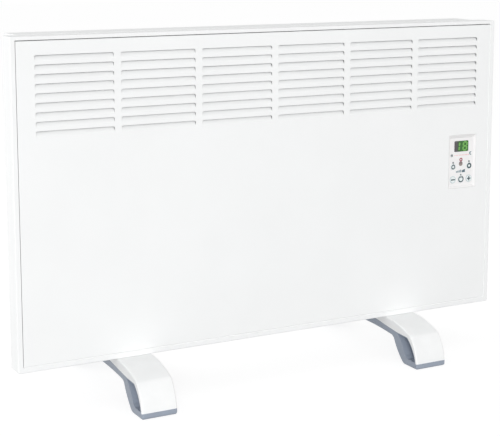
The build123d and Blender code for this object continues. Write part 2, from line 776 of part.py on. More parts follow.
def make_compartment_wall():
    """Upright plate that keeps the hot side apart from the control unit."""
    x0 = WALL_X - SHEET / 2
    x1 = WALL_X + SHEET / 2
    back = DEPTH - BACK_RETURN
    wall = block(x0, x1, WALL_FRONT, back, SHEET, HEIGHT - BACK_RETURN - SHEET)
    for low in WALL_TAB_LOWS:
        wall += block(x0, x1, back, DEPTH - SHEET, low, low + WALL_TAB_HEIGHT)
        wall += block(x0, x1 + WALL_TAB, DEPTH - 2 * SHEET, DEPTH - SHEET, low, low + WALL_TAB_HEIGHT)
    for d, z, radius in (WIRE_PASS_HIGH, WIRE_PASS_LOW):
        wall -= hole_x(d, z, radius, x0, x1)
    write(wall, "compartment_wall")


def make_thermal_cutout():
    """Disc thermostat on the heat shield that opens if the heater runs too hot."""
    back = SHIELD_D
    plate = back - SHEET
    body = plate - CUTOUT_BODY
    cutout = block(CUTOUT_X - CUTOUT_HALF_WIDTH, CUTOUT_X + CUTOUT_HALF_WIDTH, plate, back,
                   CUTOUT_Z - CUTOUT_HALF_HEIGHT, CUTOUT_Z + CUTOUT_HALF_HEIGHT)
    cutout += round_y(CUTOUT_X, CUTOUT_Z, CUTOUT_R, body, plate)
    for side in (-1, 1):
        middle = CUTOUT_X + side * CUTOUT_TAB_OFFSET
        edge = CUTOUT_TAB_THICK / 2
        cutout += block(middle - edge, middle + edge, body - CUTOUT_TAB, body,
                        CUTOUT_Z - CUTOUT_TAB_HALF, CUTOUT_Z + CUTOUT_TAB_HALF)
    write(cutout, "thermal_cutout")


# ------------------------------------------------------------ control unit
def plate_limits():
    """Left, right, low and high limits of the key plate."""
    left = CONTROL_X - PLATE_WIDTH / 2
    right = CONTROL_X + PLATE_WIDTH / 2
    low = PLATE_Z - PLATE_HEIGHT / 2
    high = PLATE_Z + PLATE_HEIGHT / 2
    return left, right, low, high


def bezel_limits():
    """Left, right, low and high limits of the control unit's opening in the panel."""
    left, right, low, high = plate_limits()
    return left - BEZEL_SIDE, right + BEZEL_SIDE, low - BEZEL_BOTTOM, high + BEZEL_TOP


def grown(limits, amount):
    left, right, low, high = limits
    return left - amount, right + amount, low - amount, high + amount


def limits_block(limits, d0, d1):
    left, right, low, high = limits
    return block(left, right, d0, d1, low, high)


def rectangle_wire(limits, d):
    left, right, low, high = limits
    corners = [(left, low), (right, low), (right, high), (left, high)]
    return Wire.make_polygon([(x, y_at(d), z_at(z)) for x, z in corners], close=True)


def key_seat():
    """How far back the key plate's front face lies."""
    return PANEL_SET_BACK + BEZEL_DEPTH


def make_control_housing():
    """Plastic box behind the panel; its front edge is a sloping bezel round the key plate."""
    front = PANEL_SET_BACK
    seat = key_seat()
    back = seat + PLATE_THICK
    bezel = bezel_limits()
    plate = plate_limits()
    lip = front + PANEL_THICK
    body = limits_block(bezel, front, HOUSING_BACK)
    body += limits_block(grown(bezel, HOUSING_LIP), lip, lip + HOUSING_LIP_THICK)
    mouth = rectangle_wire(grown(bezel, -BEZEL_FRONT_EDGE), front)
    body -= Solid.make_loft([mouth, rectangle_wire(plate, seat)], True)
    body -= limits_block(plate, seat, back)
    body -= limits_block(grown(plate, -HOUSING_LEDGE), back, HOUSING_BACK + OVERCUT)
    write(body, "control_housing")


def connector_limits():
    return CONTROL_X - CONNECTOR_HALF, CONTROL_X + CONNECTOR_HALF, CONNECTOR_LOW, CONNECTOR_HIGH


def make_housing_cover():
    back = HOUSING_BACK + COVER_PLATE
    cover = limits_block(bezel_limits(), HOUSING_BACK, back)
    cover -= limits_block(grown(connector_limits(), COVER_GAP), HOUSING_BACK - OVERCUT, back + OVERCUT)
    write(cover, "housing_cover")


def display_limits():
    return (CONTROL_X - DISPLAY_WIDTH / 2, CONTROL_X + DISPLAY_WIDTH / 2,
            DISPLAY_Z - DISPLAY_HEIGHT / 2, DISPLAY_Z + DISPLAY_HEIGHT / 2)


def display_prism(growth, d0, d1):
    """The display window's outline with its rounded corners."""
    prism = limits_block(grown(display_limits(), growth), d0, d1)
    return fillet(prism.edges().filter_by(Axis.Y), DISPLAY_CORNER + growth)


def make_key_plate():
    """The plate inside the bezel, with a window for the display and a hole for each key."""
    seat = key_seat()
    back = seat + PLATE_THICK
    plate = limits_block(grown(plate_limits(), -PLATE_GAP), seat, back)
    plate -= display_prism(DISPLAY_GAP, seat - OVERCUT, back + OVERCUT)
    for x, z, radius in KEYS.values():
        plate -= hole_y(CONTROL_X + x, z, radius + KEY_GAP, seat, back)
    write(plate, "key_plate")


def make_display():
    """Tinted window with a rim behind the plate, and the digit block that shows through it."""
    seat = key_seat()
    back = seat + PLATE_THICK
    rim = back + DISPLAY_RIM_THICK
    window = display_prism(0.0, seat, back)
    window += display_prism(DISPLAY_RIM, back, rim)
    write(window, "display_window")
    write(limits_block(grown(display_limits(), -DISPLAY_RIM), rim, BOARD_D), "display_module")


def make_keys():
    """Each key is a cap with a flange behind the plate and a stem on its switch's plunger."""
    seat = key_seat()
    back = seat + PLATE_THICK
    flange = back + KEY_FLANGE_THICK
    stem_end = BOARD_D - SWITCH_THICK - PLUNGER_PROUD
    for name, (x, z, radius) in KEYS.items():
        middle = CONTROL_X + x
        key = round_y(middle, z, radius, seat - KEY_PROUD, back)
        key = fillet(key.faces().sort_by(Axis.Y)[0].edges(), KEY_EDGE_RADIUS)
        key += round_y(middle, z, radius + KEY_FLANGE, back, flange)
        key += round_y(middle, z, KEY_STEM_R, flange, stem_end)
        write(key, name)
        plunger = round_y(middle, z, PLUNGER_R, stem_end, BOARD_D - PLUNGER_FLOOR - KEY_TRAVEL)
        write(plunger, name.replace("key_", "plunger_"))


def make_switches():
    """Switch cases on the board, each with a well for its plunger."""
    cases = []
    half = SWITCH_SIZE / 2
    front = BOARD_D - SWITCH_THICK
    for x, z, radius in KEYS.values():
        middle = CONTROL_X + x
        case = block(middle - half, middle + half, front, BOARD_D, z - half, z + half)
        case -= round_y(middle, z, PLUNGER_R + PLUNGER_GAP, front - OVERCUT, BOARD_D - SWITCH_FLOOR)
        cases.append(case)
    write_group(cases, "key_switches")


def board_limits():
    return grown(plate_limits(), -BOARD_EDGE)


def board_post_places():
    left, right, low, high = grown(board_limits(), -POST_INSET)
    return [(left, low), (right, low), (left, high), (right, high)]


def make_boards():
    for name, d in (("control_board", BOARD_D), ("power_board", POWER_BOARD_D)):
        board = limits_block(board_limits(), d, d + BOARD_THICK)
        for x, z in board_post_places():
            board -= hole_y(x, z, SCREW_R + HOLE_GAP, d, d + BOARD_THICK)
        write(board, name)


def make_board_posts():
    posts = []
    for x, z in board_post_places():
        post = round_y(x, z, POST_R, BOARD_D + BOARD_THICK, POWER_BOARD_D)
        post += round_y(x, z, SCREW_R, BOARD_D, POWER_BOARD_D + BOARD_THICK + POST_TAIL)
        posts.append(post)
    write_group(posts, "board_posts")


def make_board_parts():
    front = BOARD_D + BOARD_THICK
    back = POWER_BOARD_D + BOARD_THICK
    write(block(*RELAY_X, back, back + RELAY_HEIGHT, *RELAY_Z), "relay")
    write(round_y(CAPACITOR_X, CAPACITOR_Z, CAPACITOR_R, back, back + CAPACITOR_HEIGHT), "capacitor")
    write(limits_block(connector_limits(), back, HOUSING_BACK + CONNECTOR_OUT), "board_connector")
    ribbon = block(CONTROL_X - RIBBON_HALF, CONTROL_X + RIBBON_HALF, front, POWER_BOARD_D,
                   PLATE_Z - RIBBON_THICK / 2, PLATE_Z + RIBBON_THICK / 2)
    for d0, d1 in ((front, front + HEADER_DEPTH), (POWER_BOARD_D - HEADER_DEPTH, POWER_BOARD_D)):
        ribbon += block(CONTROL_X - HEADER_HALF, CONTROL_X + HEADER_HALF, d0, d1,
                        PLATE_Z - HEADER_HEIGHT / 2, PLATE_Z + HEADER_HEIGHT / 2)
    write(ribbon, "ribbon_cable")


def make_terminal_block():
    """Three-way block where the supply conductors are joined."""
    back = DEPTH - SHEET
    front = back - BLOCK_DEPTH
    terminal = block(BLOCK_X - BLOCK_HALF_WIDTH, BLOCK_X + BLOCK_HALF_WIDTH, front, back,
                     BLOCK_Z - BLOCK_HALF_HEIGHT, BLOCK_Z + BLOCK_HALF_HEIGHT)
    for step in (-1, 0, 1):
        terminal -= round_y(BLOCK_X + step * BLOCK_PITCH, BLOCK_Z, BLOCK_SCREW_R,
                            front - OVERCUT, front + BLOCK_SCREW_DEPTH)
    write(terminal, "terminal_block")


def make_room_sensor():
    """Air sensor in a clip just above the inlet, away from the element."""
    d0 = SENSOR_D - SENSOR_CLIP_DEPTH / 2
    d1 = SENSOR_D + SENSOR_CLIP_DEPTH / 2
    clip = block(SENSOR_X - SENSOR_CLIP_HALF, SENSOR_X + SENSOR_CLIP_HALF, d0, d1,
                 SHEET, SHEET + SENSOR_CLIP_SHEET)
    for side in (-1, 1):
        outer = SENSOR_X + side * SENSOR_CLIP_HALF
        inner = outer - side * SENSOR_CLIP_SHEET
        clip += block(outer, inner, d0, d1, SHEET, SENSOR_CLIP_TOP)
        clip -= hole_x(SENSOR_D, SENSOR_Z, SENSOR_R + HOLE_GAP, outer, inner)
    sensor = round_x(SENSOR_D, SENSOR_Z, SENSOR_R, SENSOR_X - SENSOR_HALF, SENSOR_X + SENSOR_HALF)
    write(clip, "sensor_clip")
    write(sensor, "room_sensor")


def make_wire(name, points):
    """A wire along straight runs joined by tangent arcs, through (x, d, z) points."""
    route = [Vector(x, y_at(d), z_at(z)) for x, d, z in points]
    radii = []
    for a, b, c in zip(route, route[1:], route[2:]):
        shorter = min((b - a).length, (c - b).length)
        radii.append(min(shorter * WIRE_BEND_SHARE, WIRE_BEND))
    path = FilletPolyline(*route, radius=radii)
    section = Plane(origin=path @ 0, z_dir=path % 0) * Circle(WIRE_R)
    write(sweep(section, path=path), name)


def make_wires():
    """Wires laid inside the casing; their points are chosen by hand."""
    rear = DEPTH - SHEET - BLOCK_DEPTH / 2
    low = BLOCK_Z - BLOCK_HALF_HEIGHT
    top = BLOCK_Z + BLOCK_HALF_HEIGHT
    exit_d = HOUSING_BACK + COVER_PLATE + CONNECTOR_OUT / 3
    tip = FIN_HALF_LENGTH + ROD_OVERHANG + STUD_LENGTH
    right = ELEMENT_X + tip
    left = ELEMENT_X - tip
    tab = SHIELD_D - SHEET - CUTOUT_BODY - CUTOUT_TAB
    tab_in = CUTOUT_X + CUTOUT_TAB_OFFSET
    tab_out = CUTOUT_X - CUTOUT_TAB_OFFSET
    high_d, high_z = WIRE_PASS_HIGH[:2]
    low_d, low_z = WIRE_PASS_LOW[:2]
    live_x = CONTROL_X - 10.0
    neutral_x = BLOCK_X - BLOCK_PITCH
    make_wire("wire_supply", [
        (BLOCK_X, rear, top),
        (BLOCK_X, rear, 143.0),
        (BLOCK_X, exit_d, 165.0),
        (BLOCK_X, exit_d, CONNECTOR_LOW),
    ])
    make_wire("wire_heater_live", [
        (live_x, exit_d, CONNECTOR_LOW),
        (live_x, exit_d, 176.0),
        (312.0, high_d, high_z),
        (WALL_X, high_d, high_z),
        (210.0, 46.0, 164.0),
        (166.0, 36.0, 153.0),
        (tab_in, 34.0, CUTOUT_Z),
        (tab_in, tab, CUTOUT_Z),
    ])
    make_wire("wire_element_live", [
        (tab_out, tab, CUTOUT_Z),
        (tab_out, 34.0, CUTOUT_Z),
        (160.0, 28.0, 142.0),
        (231.0, 30.0, 126.0),
        (277.0, 33.0, 117.0),
        (287.0, 40.0, 98.0),
        (286.0, ELEMENT_D, ELEMENT_Z),
        (right, ELEMENT_D, ELEMENT_Z),
    ])
    make_wire("wire_element_neutral", [
        (neutral_x, rear, low),
        (neutral_x, rear, 65.0),
        (309.0, 64.0, 34.0),
        (302.0, low_d, low_z),
        (283.0, low_d, low_z),
        (263.0, 64.0, 14.0),
        (150.0, 64.0, 15.2),
        (-150.0, 62.0, 13.2),
        (-300.0, 64.0, 15.2),
        (-349.0, 58.0, 24.0),
        (-357.0, 44.0, 50.0),
        (-356.0, ELEMENT_D, ELEMENT_Z),
        (left, ELEMENT_D, ELEMENT_Z),
    ])


# -------------------------------------------------------------------- feet
def mirrored(points):
    """The same points on the rear half of a foot."""
    return [(2 * FOOT_MIDDLE - d, z) for d, z in points]


def foot_point(spot):
    d, z = spot
    return 0, y_at(d), z_at(z)


def foot_line(a, b):
    return Line(foot_point(a), foot_point(b))


def foot_arc(a, b, c):
    return ThreePointArc(foot_point(a), foot_point(b), foot_point(c))


def foot_chain(points):
    return [foot_line(a, b) for a, b in zip(points, points[1:])]


def foot_prism(edges, width):
    """Extrude a side outline to a width, about the middle of the foot."""
    face = Face(Wire(edges))
    return Pos(-width / 2, 0, 0) * extrude(face, amount=width, dir=(1, 0, 0))


def rounded_sides(solid, radius):
    """Round the edges of a foot's two side faces."""
    return fillet(solid.faces().filter_by(Axis.X).edges(), radius)


def trim_form(z):
    """What lies between the underside of the cover and a level z above or below the foot."""
    under = COVER_UNDER[::-1] + mirrored(COVER_UNDER)
    rear_toe, rear_shin = mirrored([COVER_TOE, COVER_SHIN_MIDDLE])
    reach = -FOOT_FRONT_REACH - TRIM_REACH
    outer = [COVER_TOE, (reach, SOLE_TOP), (reach, z)]
    edges = [foot_arc(COVER_TOE, COVER_SHIN_MIDDLE, under[0])]
    edges += foot_chain(under)
    edges.append(foot_arc(under[-1], rear_shin, rear_toe))
    edges += foot_chain(outer + mirrored(outer)[::-1])
    return foot_prism(edges, FOOT_WIDTH + 2 * OVERCUT)


def recess_form():
    """The hollows in the two sides of the front leg, behind its shin, with the web between them left."""
    edges = [
        foot_arc(RECESS_TOP, RECESS_REAR_MIDDLE, RECESS_REAR_LOW),
        foot_line(RECESS_REAR_LOW, RECESS_LOW),
        foot_line(RECESS_LOW, RECESS_TOE),
        foot_arc(RECESS_TOE, RECESS_SHIN_MIDDLE, RECESS_SHOULDER),
        foot_line(RECESS_SHOULDER, RECESS_TOP),
    ]
    form = foot_prism(edges, FOOT_WIDTH + 2 * OVERCUT)
    form = fillet(x_edges_near(form, [RECESS_REAR_LOW, RECESS_LOW]), RECESS_RADIUS)
    web = FOOT_WIDTH / 2 - RECESS_DEPTH
    return form - block(-web, web, -FOOT_FRONT_REACH, FOOT_MIDDLE, -FOOT_HEIGHT, 0)


def rear_heel():
    """The rear heel mirrors the front one, with its lower end further out."""
    low, middle, high = mirrored([HEEL_LOW, HEEL_MIDDLE, HEEL_HIGH])
    low = (low[0] + REAR_HEEL_OUT, low[1])
    middle = (middle[0] + REAR_HEEL_OUT / 2, middle[1])
    return low, middle, high


def foot_body():
    """The leg under the cover, ending in a thick sole at each toe; its middle is at Y = 0."""
    toe = (-FOOT_FRONT_REACH, -FOOT_HEIGHT)
    rear_toe = mirrored([toe])[0]
    rear_low, rear_middle, rear_high = rear_heel()
    front_top = (-FOOT_FRONT_REACH, TRIM_REACH)
    edges = [
        foot_line(toe, HEEL_LOW),
        foot_arc(HEEL_LOW, HEEL_MIDDLE, HEEL_HIGH),
        foot_arc(HEEL_HIGH, LEG_ARCH_TOP, rear_high),
        foot_arc(rear_high, rear_middle, rear_low),
    ]
    edges += foot_chain([rear_low, rear_toe, *mirrored([front_top]), front_top, toe])
    body = foot_prism(edges, FOOT_WIDTH)
    for corners, radius in (((toe, rear_toe), SOLE_TIP_RADIUS),
                            ((HEEL_LOW, rear_low), HEEL_LOW_RADIUS),
                            ((HEEL_HIGH, rear_high), HEEL_HIGH_RADIUS)):
        body = fillet(x_edges_near(body, corners), radius)
    body = rounded_sides(body, LEG_EDGE_RADIUS)
    body -= trim_form(2 * TRIM_REACH)
    recess = recess_form()
    body -= recess
    body -= mirror(recess, about=Plane.XZ)
    for d in FOOT_SCREW_D:
        body -= round_z(0, d, FOOT_SCREW_R + HOLE_GAP, -FOOT_HEIGHT, OVERCUT)
        body -= round_z(0, d, FOOT_SCREW_HEAD_R + FOOT_SCREW_GAP, -FOOT_HEIGHT, FOOT_SCREW_SEAT)
    return body


def foot_cover():
    """Top skin from the front toe over the shoulder to the rear toe."""
    rear_start, rear_shoulder, rear_shin, rear_end = mirrored([COVER_START, SHOULDER, SHIN_MIDDLE, SHIN_END])
    edges = [
        foot_arc(SHIN_END, SHIN_MIDDLE, SHOULDER),
        TangentArc(foot_point(COVER_START), foot_point(SHOULDER), tangent=(0, -1, 0)),
        foot_line(COVER_START, rear_start),
        TangentArc(foot_point(rear_start), foot_point(rear_shoulder), tangent=(0, 1, 0)),
        foot_arc(rear_shoulder, rear_shin, rear_end),
        foot_line(rear_end, SHIN_END),
    ]
    cover = foot_prism(edges, FOOT_WIDTH)
    cover = fillet(x_edges_near(cover, [SHOULDER] + mirrored([SHOULDER])), SHOULDER_RADIUS)
    cover = rounded_sides(cover, COVER_EDGE_RADIUS)
    cover -= trim_form(-FOOT_HEIGHT - 2 * TRIM_REACH)
    for d in FOOT_SCREW_D:
        cover -= round_z(0, d, FOOT_SCREW_R + HOLE_GAP, -FOOT_HEIGHT, OVERCUT)
    return cover


def foot_screw(d):
    screw = round_z(0, d, FOOT_SCREW_HEAD_R, FOOT_SCREW_SEAT - FOOT_SCREW_HEAD, FOOT_SCREW_SEAT)
    screw += round_z(0, d, FOOT_SCREW_R, FOOT_SCREW_SEAT, FOOT_SCREW_TOP)
    return screw


def make_feet():
    body = foot_body()
    cover = foot_cover()
    screws = []
    for name, side in (("left", -1), ("right", 1)):
        place = Pos(side * FOOT_SPACING, 0, 0)
        write(place * body, "foot_body_" + name)
        write(place * cover, "foot_cover_" + name)
        screws += [place * foot_screw(d) for d in FOOT_SCREW_D]
    write_group(screws, "foot_screws")


make_surround()
make_corner_angles()
make_front_panel()
make_panel_clips()
make_casing_sides()
make_casing_top()
make_inlet_grille()
make_back_panel()
make_wall_inserts()
make_casing_screws()
make_flange_screws()
make_cord_gland()
make_gland_nut()
make_element_fins()
make_element_rod()
make_element_bushes()
make_element_brackets()
make_heat_shield()
make_compartment_wall()
make_thermal_cutout()
make_control_housing()
make_housing_cover()
make_key_plate()
make_display()
make_keys()
make_switches()
make_boards()
make_board_posts()
make_board_parts()
make_terminal_block()
make_room_sensor()
make_wires()
make_feet()
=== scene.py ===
import math

import bmesh
import bpy
from bpy.props import FloatProperty, FloatVectorProperty, PointerProperty
from mathutils import Euler, Matrix, Vector


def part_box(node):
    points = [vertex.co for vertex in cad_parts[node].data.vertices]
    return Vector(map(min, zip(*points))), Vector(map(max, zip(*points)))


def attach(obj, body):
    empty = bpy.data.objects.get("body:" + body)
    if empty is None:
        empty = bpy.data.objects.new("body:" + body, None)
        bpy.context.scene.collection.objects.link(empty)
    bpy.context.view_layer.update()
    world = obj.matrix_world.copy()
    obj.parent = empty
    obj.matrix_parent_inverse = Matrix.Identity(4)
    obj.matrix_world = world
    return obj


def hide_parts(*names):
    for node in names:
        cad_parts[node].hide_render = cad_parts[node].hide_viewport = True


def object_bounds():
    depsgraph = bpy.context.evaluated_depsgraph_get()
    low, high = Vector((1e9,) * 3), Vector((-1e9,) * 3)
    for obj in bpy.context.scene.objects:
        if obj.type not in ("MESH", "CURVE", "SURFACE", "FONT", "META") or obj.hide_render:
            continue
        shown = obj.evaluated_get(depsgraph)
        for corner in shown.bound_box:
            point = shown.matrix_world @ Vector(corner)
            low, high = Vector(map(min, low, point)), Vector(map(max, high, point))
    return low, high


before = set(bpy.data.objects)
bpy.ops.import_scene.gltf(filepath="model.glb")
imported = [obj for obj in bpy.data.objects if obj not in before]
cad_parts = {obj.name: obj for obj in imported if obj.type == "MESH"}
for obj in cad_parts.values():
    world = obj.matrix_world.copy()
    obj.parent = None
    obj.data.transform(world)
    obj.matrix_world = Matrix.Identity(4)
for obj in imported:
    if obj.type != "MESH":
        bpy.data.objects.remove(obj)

bl_info = {
    "name": "Panel Convector Heater",
    "version": (1, 0, 0),
    "blender": (4, 5, 0),
    "location": "3D View > Sidebar > Heater",
    "description": "Finishes, printed marks and small fittings of a slim panel heater on two feet",
    "category": "Object",
}

MM = 0.001
EVEN = (1.0, 1.0, 1.0)
ROOM_BODY = "heater"
KEYS = ("left", "right", "minus", "power", "plus")
# A key's box takes in its hidden flange and its rounded edge: the flat face starts this far inside.
KEY_RIM = 1.25 * MM
# From the edge of a key's flat face to the ring printed round its hole, and that ring's width.
PLATE_RING = 0.65 * MM
PLATE_RING_LINE = 0.7 * MM
# Where two marks cross, the upper one is this many times as thick, so that no faces coincide.
UPPER_FILM = 1.4
# Points of a mesh that are closer than this are one point.
WELD = 0.001 * MM
WHITE = (1.0, 1.0, 1.0, 1.0)


def tone(red, green, blue):
    """A screen colour from 0 to 255 as the linear values that shaders take."""
    values = []
    for level in (red, green, blue):
        share = level / 255
        values.append(share / 12.92 if share <= 0.04045 else ((share + 0.055) / 1.055) ** 2.4)
    return tuple(values)


def front_centre(node):
    """The middle of a node's face towards the room."""
    low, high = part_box(node)
    middle = (low + high) / 2
    middle.y = low.y
    return middle


CAD_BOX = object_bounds()
PLATE_MIDDLE = front_centre("key_plate")
WINDOW_LOW, WINDOW_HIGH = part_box("display_window")
WINDOW_MIDDLE = front_centre("display_window")


# ------------------------------------------------------------ user settings
def colour_setting(label, description, default):
    return FloatVectorProperty(name=label, description=description, subtype="COLOR", size=3,
                               min=0.0, max=1.0, default=default)


def length_setting(label, description, default):
    return FloatProperty(name=label, description=description, subtype="DISTANCE", unit="LENGTH",
                         min=0.0, default=default)


class HeaterColours(bpy.types.PropertyGroup):
    """Colours of the heater's finishes."""
    coat: colour_setting("Coat", "Powder coat on the sheet metal", tone(245, 246, 246))
    moulding: colour_setting("Moulding", "White plastic of the control unit", tone(243, 242, 242))
    key: colour_setting("Key", "Plastic of the keys", tone(236, 243, 243))
    cover: colour_setting("Foot cover", "White plastic on top of the feet", tone(245, 246, 246))
    leg: colour_setting("Leg", "Blue-grey plastic of the feet", tone(151, 160, 174))
    window: colour_setting("Window", "Dark end of the display window", tone(78, 74, 79))
    glow: colour_setting("Glow", "Green light round the digits", tone(42, 100, 30))
    digit: colour_setting("Digit", "Lit segments", tone(110, 172, 82))
    ink: colour_setting("Ink", "Dark marks on the keys and the plate", tone(66, 84, 90))
    pale_ink: colour_setting("Pale ink", "Thin rings round the plus and minus keys", tone(186, 206, 208))
    warm_ink: colour_setting("Warm ink", "Shackle of the padlock on the plate", tone(150, 62, 78))


class HeaterPrint(bpy.types.PropertyGroup):
    """Sizes of the marks on the control unit."""
    film: length_setting("Film", "How far a printed mark stands proud", 0.05 * MM)
    ring_line: length_setting("Ring line", "Width of the rings on the left and power keys", 1.8 * MM)
    digit_height: length_setting("Digit height", "Height of a lit digit", 15.6 * MM)
    digit_width: length_setting("Digit width", "Width of a lit digit", 9.4 * MM)
    segment: length_setting("Segment", "Width of a lit segment", 2.7 * MM)


class HeaterStudio(bpy.types.PropertyGroup):
    """Camera and light."""
    camera_place: FloatVectorProperty(name="Camera place", description="Where the camera stands",
                                      subtype="XYZ", unit="LENGTH", size=3,
                                      default=(-0.9309, -1.7115, 0.6303))
    camera_yaw: FloatProperty(name="Yaw", description="How far the camera turns to the right",
                              subtype="ANGLE", unit="ROTATION", default=math.radians(28.361))
    camera_pitch: FloatProperty(name="Pitch", description="How far the camera tips down",
                                subtype="ANGLE", unit="ROTATION", default=math.radians(8.729))
    camera_lens: FloatProperty(name="Lens", description="Focal length in millimetres on a 36 mm film",
                               min=10.0, default=95.64)
    camera_shift: FloatProperty(name="Shift", description="Vertical shift as a share of the width",
                                default=-0.14)
    sky: FloatProperty(name="Sky", description="Strength of the even light from all round",
                       min=0.0, default=0.58)
    key_power: FloatProperty(name="Key lamp", description="Power of the lamp at the front left",
                             subtype="POWER", unit="POWER", min=0.0, default=580.0)
    fill_power: FloatProperty(name="Fill lamp", description="Power of the lamp behind the heater",
                              subtype="POWER", unit="POWER", min=0.0, default=12.5)


# ------------------------------------------------------------ shader helpers
def start_material(name):
    material = bpy.data.materials.new(name)
    material.use_nodes = True
    tree = material.node_tree
    return material, tree, tree.nodes["Principled BSDF"]


def object_place(tree, stretch=EVEN):
    """The point on the object in metres, stretched along its axes."""
    place = tree.nodes.new("ShaderNodeTexCoord")
    mapping = tree.nodes.new("ShaderNodeMapping")
    mapping.inputs["Scale"].default_value = stretch
    tree.links.new(place.outputs["Object"], mapping.inputs["Vector"])
    return mapping.outputs["Vector"]


def noise(tree, size, detail=2.0, stretch=EVEN):
    """Soft noise whose patches are about size across."""
    node = tree.nodes.new("ShaderNodeTexNoise")
    node.inputs["Scale"].default_value = 1.0 / size
    node.inputs["Detail"].default_value = detail
    tree.links.new(object_place(tree, stretch), node.inputs["Vector"])
    return node.outputs["Fac"]


def two_tones(tree, factor, first, second, low=0.3, high=0.7):
    """A colour between two tones, picked by a factor."""
    ramp = tree.nodes.new("ShaderNodeValToRGB")
    ramp.color_ramp.elements[0].position = low
    ramp.color_ramp.elements[0].color = (*first, 1.0)
    ramp.color_ramp.elements[1].position = high
    ramp.color_ramp.elements[1].color = (*second, 1.0)
    tree.links.new(factor, ramp.inputs["Fac"])
    return ramp.outputs["Color"]


def axis_share(tree, axis, start, end, interpolation="LINEAR"):
    """0 to 1 between two places on an axis of the object."""
    place = tree.nodes.new("ShaderNodeSeparateXYZ")
    tree.links.new(object_place(tree), place.inputs["Vector"])
    spread = tree.nodes.new("ShaderNodeMapRange")
    spread.interpolation_type = interpolation
    spread.inputs["From Min"].default_value = start
    spread.inputs["From Max"].default_value = end
    tree.links.new(place.outputs[axis], spread.inputs["Value"])
    return spread.outputs["Result"]


def combine(tree, operation, first, second):
    """One number from two."""
    node = tree.nodes.new("ShaderNodeMath")
    node.operation = operation
    tree.links.new(first, node.inputs[0])
    tree.links.new(second, node.inputs[1])
    return node.outputs["Value"]


def shade(colour, factor):
    return tuple(min(1.0, level * factor) for level in colour)


def vary_colour(tree, shader, colour, spread, size, detail=2.0, stretch=EVEN):
    patches = noise(tree, size, detail, stretch)
    mix = two_tones(tree, patches, shade(colour, 1 - spread), shade(colour, 1 + spread))
    tree.links.new(mix, shader.inputs["Base Color"])


def vary_roughness(tree, shader, low, high, size, stretch=EVEN):
    spread = tree.nodes.new("ShaderNodeMapRange")
    spread.inputs["To Min"].default_value = low
    spread.inputs["To Max"].default_value = high
    tree.links.new(noise(tree, size, 3.0, stretch), spread.inputs["Value"])
    tree.links.new(spread.outputs["Result"], shader.inputs["Roughness"])


def add_grain(tree, shader, layers):
    """Surface grain from one or more (size, height, stretch) layers."""
    normal = None
    for size, height, stretch in layers:
        bump = tree.nodes.new("ShaderNodeBump")
        bump.inputs["Strength"].default_value = 1.0
        bump.inputs["Distance"].default_value = height
        tree.links.new(noise(tree, size, 2.0, stretch), bump.inputs["Height"])
        if normal:
            tree.links.new(normal, bump.inputs["Normal"])
        normal = bump.outputs["Normal"]
    tree.links.new(normal, shader.inputs["Normal"])


def powder_coat(name, colour):
    """Baked coat: fine orange peel over slow waves in the sheet."""
    material, tree, shader = start_material(name)
    vary_colour(tree, shader, colour, 0.008, 90 * MM)
    vary_roughness(tree, shader, 0.36, 0.46, 3 * MM)
    add_grain(tree, shader, [(60 * MM, 0.02 * MM, EVEN), (1.3 * MM, 0.006 * MM, EVEN)])
    shader.inputs["Specular IOR Level"].default_value = 0.4
    return material


def moulded_plastic(name, colour, spread=0.015, rough=(0.42, 0.52), grain=0.008 * MM):
    """Spark-eroded mould grain with faint flow marks."""
    material, tree, shader = start_material(name)
    vary_colour(tree, shader, colour, spread, 25 * MM, 3.0)
    vary_roughness(tree, shader, rough[0], rough[1], 6 * MM)
    add_grain(tree, shader, [(0.8 * MM, grain, EVEN)])
    return material


def plated_steel(name, colour, rough=(0.28, 0.42)):
    """Zinc plate with soft spangle."""
    material, tree, shader = start_material(name)
    cells = tree.nodes.new("ShaderNodeTexVoronoi")
    cells.inputs["Scale"].default_value = 1.0 / (4 * MM)
    tree.links.new(object_place(tree), cells.inputs["Vector"])
    dark = shade(colour, 0.88)
    light = shade(colour, 1.08)
    mix = two_tones(tree, cells.outputs["Distance"], dark, light, 0.1, 0.8)
    tree.links.new(mix, shader.inputs["Base Color"])
    vary_roughness(tree, shader, rough[0], rough[1], 5 * MM)
    add_grain(tree, shader, [(1.0 * MM, 0.004 * MM, EVEN)])
    shader.inputs["Metallic"].default_value = 1.0
    return material


def drawn_metal(name, colour, rough=(0.25, 0.4)):
    """Extruded or drawn metal with fine lines along X."""
    material, tree, shader = start_material(name)
    lines = (0.02, 1.0, 1.0)
    vary_colour(tree, shader, colour, 0.08, 1.2 * MM, 2.0, lines)
    vary_roughness(tree, shader, rough[0], rough[1], 1.0 * MM, lines)
    add_grain(tree, shader, [(0.6 * MM, 0.003 * MM, lines)])
    shader.inputs["Metallic"].default_value = 1.0
    return material


def board_mask(name, colour):
    """Green lacquer over copper tracks."""
    material, tree, shader = start_material(name)
    tracks = tree.nodes.new("ShaderNodeTexBrick")
    tracks.inputs["Scale"].default_value = 1.0 / (16 * MM)
    tracks.inputs["Color1"].default_value = (*colour, 1.0)
    tracks.inputs["Color2"].default_value = (*shade(colour, 0.85), 1.0)
    tracks.inputs["Mortar"].default_value = (*shade(colour, 1.5), 1.0)
    turned = object_place(tree)
    turned.node.inputs["Rotation"].default_value = (math.pi / 2, 0.0, 0.0)
    tree.links.new(turned, tracks.inputs["Vector"])
    tree.links.new(tracks.outputs["Color"], shader.inputs["Base Color"])
    vary_roughness(tree, shader, 0.2, 0.32, 4 * MM)
    return material


# Where the glow begins and is full, as shares of the window's width from its left.
GLOW_LEFT = (0.16, 0.42)
GLOW_RIGHT = (0.99, 0.95)


